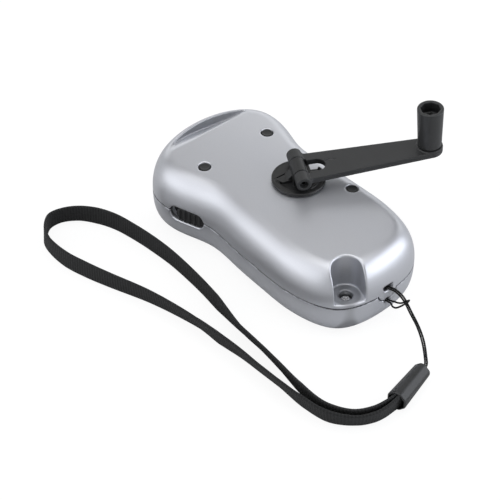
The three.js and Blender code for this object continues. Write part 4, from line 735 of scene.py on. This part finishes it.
def sleeve_form(x, y, z):
    """Tapered sleeve, drawn from its front end; hollow where the webbing goes in"""
    share = np.clip(x / SLEEVE_LENGTH, -0.1, 1.1)
    wide, high = 2.95 + 0.45 * share, 3.1 + 0.7 * share
    aside, rise = np.abs(y) - wide, slab(z, STRAP_LOW + high, high)
    tube = both(both(aside, rise, 1.5), (aside + rise + 2.2) / math.sqrt(2), 0.5)
    sleeve = both(tube, layer(x, 0, SLEEVE_LENGTH), 0.7)
    mouth = both(tube + 0.72, SLEEVE_LENGTH - 5.5 - x, 0.4)
    hole = common(np.hypot(y, z - 3.35) - 1.15, x - 2.5)
    return without(without(sleeve, mouth, 0.2), hole, 0.25)


sleeve = skin("lanyard_sleeve", sleeve_form, (0, -3.4, STRAP_LOW), (SLEEVE_LENGTH, 3.4, 7.85), 0.24,
              axes=SLEEVE_AXES, origin=SLEEVE_START)
string = make_string()
strap = make_strap()


# Body, crank and switch pieces

upper_shell = skin("silver_upper_shell", upper_shell_form, (-52.2, -28.6, 9.8), (52.2, 28.6, 29.1), 0.42)
lower_shell = skin("silver_lower_shell", lower_shell_form, (-52.2, -28.6, 0), (52.2, 28.6, 14.7), 0.46)
hub = skin("hub_disc", hub_form, (-9.5, -9.5, 21.7), (9.5, 9.5, 36), 0.17, axes=HUB_AXES, origin=(*HUB, 0))
arm = skin("folding_arm", arm_form, (-2.65, -8.7, -2.65), (ARM_LENGTH + 4.6, 8.7, 6.1), 0.23,
           axes=ARM_AXES, origin=PIN_PLACE)
knob = skin("hollow_knob", knob_form, (-4.9, -4.9, KNOB_LOW), (4.9, 4.9, KNOB_HIGH), 0.2,
            axes=ARM_AXES, origin=KNOB_PLACE)
pin = skin("rolled_hinge_pin", pin_form, (-1, -8.7, -1), (1, 8.7, 1), 0.12, axes=ARM_AXES, origin=PIN_PLACE)
SWITCH_AXES = np.array([[*SWITCH_ALONG, 0], [*SWITCH_OUT, 0], [0, 0, 1]])
slider_origin = np.array([*SWITCH, SWITCH_HEIGHT]) - 1.2 * SWITCH_AXES[0]
slider = skin("switch_thumb_piece", slider_form, (-8.4, -6.5, -3.9), (8.4, 0.2, 3.9), 0.16,
              axes=SWITCH_AXES, origin=slider_origin)


def plug_profile(top, leg_low):
    """Dished cap on a leg, from the bottom of the leg to the middle of the cap"""
    cap = [(-0.1, 1.4), (0, 1.25), (0, 0.34), (-0.04, 0.2), (-0.13, 0.1), (-0.27, 0.05), (-0.45, 0.06),
           (-0.6, 0.13), (-0.85, 0.17)]
    leg = [(0, leg_low), (0.9, leg_low), (1, leg_low + 0.15), (1, top - 1.4)]
    return leg + [(PLUG_RADIUS + out, top - down) for out, down in cap] + [(0.8, top - 0.19), (0, top - 0.2)]


plugs, shell_screws = [], []
for number, (px, py) in enumerate(PLUGS, 1):
    profile = plug_profile(top_height(px, py), POST_FLOOR + 2.1)
    plugs.append(lathe(f"plug_cap_{number}", profile, (px, py, 0)))
    seat = px, py, POST_FLOOR + FIT
    shell_screws.append(make_screw(f"deep_screw_{number}", seat, 2, 1.5, 1.0, 12, 0.2))
recess_screw = make_screw("recess_cross_screw", (*RECESS, RECESS_SEAT), 2, 1.5, 1.0, 7)
knob_seat = KNOB_PLACE + (KNOB_FLOOR + FIT) * ARM_AXES[2]
knob_screw = make_screw("knob_cross_screw", knob_seat, 2.6, 1.4, 0.9, 7, 0.16, axes=ARM_AXES)
hub_screw = make_screw("hub_cross_screw", (*HUB, 21.101), 2.6, 1.3, 1.0, 5.6, 0.18,
                       axes=np.diag([1.0, -1.0, -1.0]))


# Lamp end

def body_skin(inset, x, y, z, wall):
    return np.where(z > PARTING, upper_skin(inset, x, y, z, wall), lower_skin(inset, z, wall))


def lens_form(x, y, z):
    """Clear window that follows the front of the body, with a flange behind the wall"""
    inset = inset_at(x, y)
    window = both(body_skin(inset, x, y, z, 0.5), lens_opening(y, z, -FIT), 0.3)
    flange = common(body_skin(inset, x, y, z, WALL + FIT), lens_opening(y, z, 1.6))
    return common(joined(window, flange), inset - 3.5, LENS_ROOM - x)


CUP_START, CUP_END = 37.4, 44.0


def reflector_form(x, y, z):
    """Bright plate with a round cup and a hole for each lamp"""
    plate = both(lens_opening(y, z, -FIT), layer(x, CUP_START, CUP_END), 0.2)
    depth = np.clip((x - CUP_START) / (CUP_END - CUP_START), 0, 1)
    for place in LAMPS:
        radius = np.hypot(y - place, z - PARTING)
        plate = without(plate, radius - (2.9 + 1.75 * np.sqrt(depth)), 0.15)
    return plate


LAMP_AXES = np.array([[0, 1, 0], [0, 0, 1], [1, 0, 0]])


def lamp_profile():
    dome = [(2.5 * math.cos(a), 4.9 + 2.5 * math.sin(a)) for a in np.linspace(0, math.pi / 2, 12)[:-1]]
    return [(0, 0), (2.8, 0), (2.95, 0.12), (2.95, 0.9), (2.85, 1), (2.5, 1.05)] + dome + [(0, 7.4)]


lens = skin("lamp_window", lens_form, (LENS_ROOM, -18.2, 5.9), (51.6, 18.2, 20.9), 0.3)
reflector = skin("reflector_cups", reflector_form, (CUP_START, -16.2, 7.8), (CUP_END, 16.2, 19), 0.24)
lamps = [lathe(f"lamp_{number}", lamp_profile(), (LAMP_BASE, place, PARTING), 32, LAMP_AXES)
         for number, place in enumerate(LAMPS, 1)]


# Materials

class Signal:
    """An output of a node whose operators add Math nodes"""

    def __init__(self, finish, socket):
        self.finish, self.socket = finish, socket

    def _maths(self, operation, *values):
        return self.finish.node("ShaderNodeMath", {"operation": operation}, dict(enumerate(values)))

    def __add__(self, other):
        return self._maths("ADD", self, other)

    def __sub__(self, other):
        return self._maths("SUBTRACT", self, other)

    def __rsub__(self, other):
        return self._maths("SUBTRACT", other, self)

    def __mul__(self, other):
        return self._maths("MULTIPLY", self, other)

    def __truediv__(self, other):
        return self._maths("DIVIDE", self, other)

    def __pow__(self, other):
        return self._maths("POWER", self, other)

    def sine(self):
        return self._maths("SINE", self)

    def size(self):
        return self._maths("ABSOLUTE", self)

    def larger(self, other):
        return self._maths("MAXIMUM", self, other)

    def between(self, low, high):
        """0 below low, 1 above high, smooth between"""
        settings = {"interpolation_type": "SMOOTHSTEP", "clamp": True}
        inputs = {"Value": self, "From Min": low, "From Max": high}
        return self.finish.node("ShaderNodeMapRange", settings, inputs)

    __radd__, __rmul__ = __add__, __mul__


class Finish:
    """A material being built round one Principled shader"""

    def __init__(self, name, owner=None):
        self.owner = owner or bpy.data.materials.new(name)
        self.owner.use_nodes = True
        self.tree = self.owner.node_tree
        self.tree.nodes.clear()

    def node(self, kind, settings=None, inputs=None, output=0):
        made = self.tree.nodes.new(kind)
        for name, value in (settings or {}).items():
            if name == "stops":
                set_stops(made.color_ramp, value)
            else:
                setattr(made, name, value)
        for name, value in (inputs or {}).items():
            if isinstance(value, Signal):
                self.tree.links.new(value.socket, made.inputs[name])
            else:
                made.inputs[name].default_value = value
        return Signal(self, made.outputs[output]) if made.outputs else made

    def place(self, kind="Object"):
        return self.node("ShaderNodeTexCoord", output=kind)

    def stretched(self, *scale):
        return self.node("ShaderNodeMapping", {}, {"Vector": self.place(), "Scale": scale})

    def noise(self, scale, detail=3.0, roughness=0.5, where=None, distortion=0.0):
        inputs = {"Vector": where or self.place(), "Scale": scale, "Detail": detail, "Roughness": roughness,
                  "Distortion": distortion}
        return self.node("ShaderNodeTexNoise", {}, inputs)

    def blend(self, factor, first, second):
        return self.node("ShaderNodeMix", {"data_type": "RGBA"}, {0: factor, 6: first, 7: second}, 2)

    def bump(self, height, strength, distance):
        inputs = {"Height": height, "Strength": strength, "Distance": distance}
        return self.node("ShaderNodeBump", {}, inputs)

    def shader(self, colour, rough, normal, **others):
        inputs = {"Base Color": colour, "Roughness": rough, "Normal": normal}
        inputs.update({name.replace("_", " "): value for name, value in others.items()})
        surface = self.node("ShaderNodeBsdfPrincipled", {}, inputs)
        self.node("ShaderNodeOutputMaterial", {}, {"Surface": surface})
        return self.owner


def set_stops(ramp, stops):
    while len(ramp.elements) > 1:
        ramp.elements.remove(ramp.elements[-1])
    ramp.elements[0].position, ramp.elements[0].color = stops[0]
    for position, colour in stops[1:]:
        ramp.elements.new(position).color = colour


def grey(level, tint=0.0):
    return (level * (1 - tint), level, level * (1 + tint), 1)


def axis_of(finish, where, axis):
    return finish.node("ShaderNodeSeparateXYZ", {}, {"Vector": where}, axis)


def silver_paint(name, seamed=False):
    """Sprayed silver lacquer: fine flake, faint cloudiness and orange peel, with painted shade in the tail
    recess and on the scoop's wall. Where it is seamed, painted shade darkens the parting line and the gap
    round the tab."""
    f = Finish(name)
    x, y, z = (axis_of(f, f.place(), axis) / MM for axis in range(3))
    flake, cloud = f.noise(5200, 2, 0.6), f.noise(38, 3, 0.5)
    tone = f.blend(flake, (0.58, 0.59, 0.625, 1), (0.68, 0.69, 0.725, 1))
    tone = f.blend(cloud.between(0.35, 0.7) * 0.25, tone, (0.59, 0.61, 0.66, 1))
    rough = 0.36 + flake * 0.05 + cloud * 0.04
    if seamed:
        # Painted shade: the parting seam and the gap round the tab are darkened.
        groove = (y - EYE[1]) ** 2 + (z - TAB_HEIGHT) ** 2 - (TAB_RADIUS + 0.15) ** 2
        groove = (1 - x.between(-48, -46)) * (1 - groove.size().between(0.8, 2.2))
        seam_shade = z.between(LOWER_END - 0.35, LOWER_END - 0.1).larger(groove)
        seam_shade = seam_shade * (f.noise(420, 4, 0.6) * 0.2 + 0.8)
        tone = f.blend(seam_shade, tone, (0.09, 0.09, 0.10, 1))
        rough = rough + seam_shade * 0.2
    # Painted shade: the tail recess and the scoop's wall that faces the tail are darkened.
    across = (x - RECESS[0]) ** 2 + (y - RECESS[1]) ** 2
    hollow = 1 - across.between((RECESS_RADIUS - 0.9) ** 2, (RECESS_RADIUS + 0.2) ** 2)
    towards_tail = 0 - axis_of(f, f.node("ShaderNodeNewGeometry", output="Normal"), 0)
    in_scoop = x.between(SCOOP_START + 0.4, SCOOP_START + 0.9) * z.between(18, 19)
    hollow = hollow.larger(in_scoop * towards_tail.between(0.15, 0.5) * 0.8)
    tone = f.blend(hollow * 0.75, tone, (0.22, 0.225, 0.235, 1))
    peel = f.noise(900, 2, 0.5) * 0.55 + flake * 0.45
    return f.shader(tone, rough, f.bump(peel, 0.11, 0.0001), Metallic=0.86, Coat_Weight=0.18,
                    Coat_Roughness=0.25)


def moulded_black(name="moulded_black", level=0.022, rough=0.42, grain=1500):
    """Moulded plastic: spark-eroded grain, flow clouding and hairline scuffs"""
    f = Finish(name)
    cells = f.noise(grain, 3, 0.6)
    cloud = f.noise(90, 3, 0.55)
    where = f.stretched(1.0, 0.12, 1.0)
    scuff = f.noise(700, 4, 0.65, where, 0.6).between(0.62, 0.74) * 0.35
    tone = f.blend(cloud, grey(level * 0.85, 0.03), grey(level * 1.25, 0.03))
    tone = f.blend(scuff, tone, grey(level * 2.2, 0.02))
    return f.shader(tone, rough + cells * 0.1 + scuff * 0.12, f.bump(cells, 0.16, 0.00012))


def woven_black():
    """Webbing: rows of weft under warp threads, with a little fuzz"""
    f = Finish("woven_black")
    where = f.place("UV")
    run, round_it = axis_of(f, where, 0), axis_of(f, where, 1)
    weft = (run * (TURN / WEFT_STEP)).sine() * 0.5 + 0.5
    warp = (round_it * (TURN * 34) + (run * (TURN / 2 / WEFT_STEP)).sine() * 0.9).sine() * 0.5 + 0.5
    threads = weft * 0.55 + warp * 0.45
    fuzz = f.noise(2600, 4, 0.7)
    tone = f.blend(threads * 0.7 + fuzz * 0.3, grey(0.008), grey(0.034, 0.02))
    return f.shader(tone, 0.8 + fuzz * 0.15, f.bump(threads + fuzz * 0.4, 0.5, 0.00016),
                    Specular_IOR_Level=0.3, Sheen_Weight=0.05)


def braided_black():
    """String: strands crossing both ways, with fibres"""
    f = Finish("braided_black")
    where = f.place("UV")
    run, round_it = axis_of(f, where, 0) * (TURN / 1.3), axis_of(f, where, 1) * (4 * TURN)
    strands = ((run + round_it).sine() * (run - round_it).sine()).size()
    fuzz = f.noise(4200, 4, 0.7)
    tone = f.blend(strands * 0.6 + fuzz * 0.4, grey(0.004), grey(0.012, 0.02))
    return f.shader(tone, 0.75 + fuzz * 0.2, f.bump(strands + fuzz * 0.3, 0.5, 0.00012),
                    Specular_IOR_Level=0.3, Sheen_Weight=0.05)


def bright_steel(name="bright_steel", level=0.58, rough=0.28):
    """Plated steel: turned marks, spots and a slight tarnish"""
    f = Finish(name)
    where = f.stretched(1.0, 1.0, 6.0)
    marks = f.noise(1800, 3, 0.6, where)
    spots = f.noise(480, 4, 0.6).between(0.55, 0.75)
    tone = f.blend(spots * 0.5, grey(level), (level * 0.72, level * 0.68, level * 0.6, 1))
    return f.shader(tone, rough + marks * 0.16 + spots * 0.1, f.bump(marks, 0.12, 0.00008), Metallic=1.0)


def clear_plastic():
    """Lamp window: clear, faintly hazed, with fine scratches"""
    f = Finish("clear_plastic")
    where = f.stretched(1.0, 1.0, 0.1)
    scratch = f.noise(900, 4, 0.7, where).between(0.6, 0.7)
    return f.shader((0.95, 0.97, 1.0, 1), 0.04 + scratch * 0.1, f.bump(scratch, 0.04, 0.00003), IOR=1.49,
                    Transmission_Weight=1.0)


def mirror_plate():
    """Vacuum-metallised reflector: bright, with a faint ripple"""
    f = Finish("mirror_plate")
    ripple = f.noise(260, 2, 0.5)
    spots = f.noise(1400, 3, 0.6).between(0.66, 0.74)
    tone = f.blend(spots * 0.4, (0.86, 0.87, 0.88, 1), (0.6, 0.6, 0.6, 1))
    return f.shader(tone, 0.08 + spots * 0.2, f.bump(ripple, 0.12, 0.0001), Metallic=1.0)


def lamp_epoxy():
    """Lamp body: clear epoxy with a faint yellow tint that varies in soft clouds"""
    f = Finish("lamp_epoxy")
    haze = f.noise(300, 2, 0.5)
    tone = f.blend(haze, (0.98, 0.97, 0.88, 1), (0.93, 0.93, 0.86, 1))
    return f.shader(tone, 0.05 + haze * 0.06, f.bump(haze, 0.03, 0.0001), IOR=1.53,
                    Transmission_Weight=0.75)


def white_nylon():
    f = Finish("white_nylon")
    cells, cloud = f.noise(1600, 3, 0.6), f.noise(120, 3, 0.5)
    tone = f.blend(cloud, (0.78, 0.76, 0.70, 1), (0.70, 0.68, 0.61, 1))
    return f.shader(tone, 0.42 + cells * 0.12, f.bump(cells, 0.12, 0.0001))


def ferrite():
    f = Finish("ferrite")
    pores = f.noise(2200, 4, 0.7)
    tone = f.blend(pores, (0.030, 0.030, 0.034, 1), (0.06, 0.06, 0.064, 1))
    return f.shader(tone, 0.5 + pores * 0.2, f.bump(pores, 0.3, 0.0001), Metallic=0.3)


def copper_winding():
    """Enamelled wire lying in level turns"""
    f = Finish("copper_winding")
    height = axis_of(f, f.place(), 2)
    turns = (height * (TURN / 0.00032)).sine() * 0.5 + 0.5
    cloud = f.noise(500, 3, 0.6)
    tone = f.blend(turns, (0.16, 0.05, 0.02, 1), (0.50, 0.19, 0.08, 1))
    tone = f.blend(cloud * 0.3, tone, (0.62, 0.28, 0.12, 1))
    return f.shader(tone, 0.3 + cloud * 0.15, f.bump(turns, 0.7, 0.00012), Metallic=0.8)


def cell_wrap():
    """Shrink sleeve over a button cell, with its bare ends"""
    f = Finish("cell_wrap")
    normal = f.node("ShaderNodeNewGeometry", output="Normal")
    end = axis_of(f, normal, 1).size().between(0.7, 0.85)
    wrinkle, scratch = f.noise(420, 3, 0.6), f.noise(1800, 3, 0.6)
    tone = f.blend(wrinkle, (0.03, 0.17, 0.07, 1), (0.05, 0.24, 0.10, 1))
    tone = f.blend(end, tone, f.blend(scratch, grey(0.45), grey(0.62)))
    return f.shader(tone, 0.25 + wrinkle * 0.2, f.bump(wrinkle, 0.15, 0.0002), Metallic=end * 0.95)


def circuit_board():
    """Board with its mask, copper runs beneath it and tinned pads"""
    f = Finish("circuit_board")
    where = f.place()
    none, full = grey(0.0), grey(1.0)
    inputs = {"Vector": where, "Scale": 320.0, "Mortar Size": 0.09, "Color1": none, "Color2": none,
              "Mortar": full}
    bricks = f.node("ShaderNodeTexBrick", {}, inputs, 1)
    pads = f.node("ShaderNodeTexVoronoi", {}, {"Vector": where, "Scale": 360.0})
    pad = 1 - pads.between(0.10, 0.16)
    grain = f.noise(1500, 3, 0.6)
    tone = f.blend(grain, (0.012, 0.11, 0.035, 1), (0.02, 0.16, 0.055, 1))
    tone = f.blend(bricks * 0.6, tone, (0.05, 0.26, 0.09, 1))
    tone = f.blend(pad, tone, (0.55, 0.55, 0.52, 1))
    return f.shader(tone, 0.38 + grain * 0.1 - pad * 0.1, f.bump(bricks + pad + grain * 0.2, 0.25, 0.00008),
                    Metallic=pad * 0.9)


# Riding, replacing and dressing

def dress(piece, finish):
    """The finish in every slot of a piece, or in a new slot where it has none"""
    if not piece.data.materials:
        piece.data.materials.append(finish)
    for slot in piece.material_slots:
        slot.material = finish


def fit(piece, body, node, finish):
    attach(piece, body)
    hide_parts(node)
    dress(piece, finish)


black, steel, dark_steel = moulded_black(), bright_steel(), bright_steel("dark_steel", 0.05, 0.45)
plug_black, lamp_finish, board = moulded_black("plug_black", 0.011, 0.4), lamp_epoxy(), circuit_board()
fit(upper_shell, "base", "upper_shell", silver_paint("silver_paint"))
fit(lower_shell, "base", "lower_shell", silver_paint("seamed_silver", seamed=True))
fit(hub, "crank", "crank_hub", moulded_black("hub_black", 0.012, 0.36))
fit(hub_screw, "crank", "hub_screw", steel)
fit(arm, "arm", "crank_arm", black)
fit(knob_screw, "arm", "knob_screw", dark_steel)
fit(pin, "crank", "hinge_pin", dark_steel)
fit(knob, "knob", "crank_knob", moulded_black("knob_black", 0.024, 0.36, 1100))
fit(slider, "slider", "switch_slider", black)
# The recess screw gets a brighter copy of the steel: painted light that offsets the shade of the recess.
fit(recess_screw, "base", "recess_screw", bright_steel("lit_steel", 0.85, 0.22))
fit(lens, "base", "lens", clear_plastic())
fit(reflector, "base", "reflector", mirror_plate())
fit(sleeve, "base", "strap_sleeve", moulded_black("sleeve_black", 0.02, 0.34, 900))
fit(string, "base", "lanyard_string", braided_black())
fit(strap, "base", "wrist_strap", woven_black())
for number, (plug, screw, lamp) in enumerate(zip(plugs, shell_screws, lamps), 1):
    fit(plug, "base", f"screw_plug_{number}", plug_black)
    fit(screw, "base", f"shell_screw_{number}", steel)
    fit(lamp, "base", f"led_{number}", lamp_finish)

# CAD nodes that stay, with their finishes
stay = {black: ["switch_body", "gear_plate", "capacitor"], board: ["charge_board", "led_board"],
        steel: ["axle_1", "axle_2", "cell_tab_front", "cell_tab_rear"], ferrite(): ["rotor_magnet"],
        white_nylon(): ["drive_gear", "idler_gear_1", "idler_gear_2", "rotor_shaft", "stator_bobbin"],
        copper_winding(): ["stator_coil"], cell_wrap(): [f"battery_cell_{number}" for number in (1, 2, 3)]}
for finish, names in stay.items():
    for name in names:
        dress(nodes[name], finish)


# Floor and light

def seen_by(finish, *kinds):
    """1 for each named kind of ray, such as Camera or Glossy"""
    return [finish.node("ShaderNodeLightPath", output=f"Is {kind} Ray") for kind in kinds]


def make_floor():
    f = Finish("pale_floor")
    camera, through = seen_by(f, "Camera", "Transmission")
    paper = f.noise(60, 3, 0.5)
    matt = f.node("ShaderNodeBsdfDiffuse", {}, {"Color": f.blend(paper, grey(0.58), grey(0.62))})
    lit = f.node("ShaderNodeEmission", {}, {"Color": grey(1.0), "Strength": 1.19})
    surface = f.node("ShaderNodeMixShader", {}, {0: camera * 0.75 + through * 0.5, 1: matt, 2: lit})
    f.node("ShaderNodeOutputMaterial", {}, {"Surface": surface})
    corners = [(-3000, -3000), (3000, -3000), (3000, 3000), (-3000, 3000)]
    floor = new_object("floor", [(x, y, -0.03) for x, y in corners], [(0, 1, 2, 3)], False)
    floor.data.materials.append(f.owner)


def make_world():
    """Soft grey room, and white where the camera looks"""
    world = bpy.data.worlds.new("soft_room")
    bpy.context.scene.world = world
    f = Finish("", world)
    height = axis_of(f, f.place("Generated"), 2)
    stops = [(0.0, grey(0.57, 0.02)), (0.25, grey(0.57, 0.02)), (0.6, grey(0.16)), (1.0, grey(0.3))]
    room = f.node("ShaderNodeValToRGB", {"stops": stops}, {"Fac": height})
    tone = f.blend(seen_by(f, "Camera")[0], room, grey(1.0))
    surface = f.node("ShaderNodeBackground", {}, {"Color": tone, "Strength": 1.0})
    f.node("ShaderNodeOutputWorld", {}, {"Surface": surface})


def make_light(name, azimuth, elevation, size, power, distance=900, tint=(1, 1, 1)):
    """Soft box that faces the body; azimuth turns from the lamp end to the switch side"""
    a, e = math.radians(azimuth), math.radians(elevation)
    way = Vector((math.cos(a) * math.cos(e), math.sin(a) * math.cos(e), math.sin(e)))
    data = bpy.data.lights.new(name, "AREA")
    data.shape, data.size, data.size_y = "RECTANGLE", size[0] * MM, size[1] * MM
    data.energy, data.color = power, tint
    light = add_object(name, data)
    light.location = (way * distance + Vector((0, 0, 15))) * MM
    light.rotation_euler = (-way).to_track_quat("-Z", "Y").to_euler()


make_floor()
make_world()
make_light("right_soft_box", 220, 24, (1040, 800), 5.0, tint=(0.95, 0.98, 1.05))
make_light("left_soft_box", 70, 28, (940, 1150), 3.9, tint=(0.98, 0.99, 1.02))
make_light("back_soft_box", -42, 22, (1500, 570), 1.9)
make_light("top_soft_box", 0, 90, (800, 800), 3.1)

bpy.context.scene.view_settings.view_transform = "Standard"
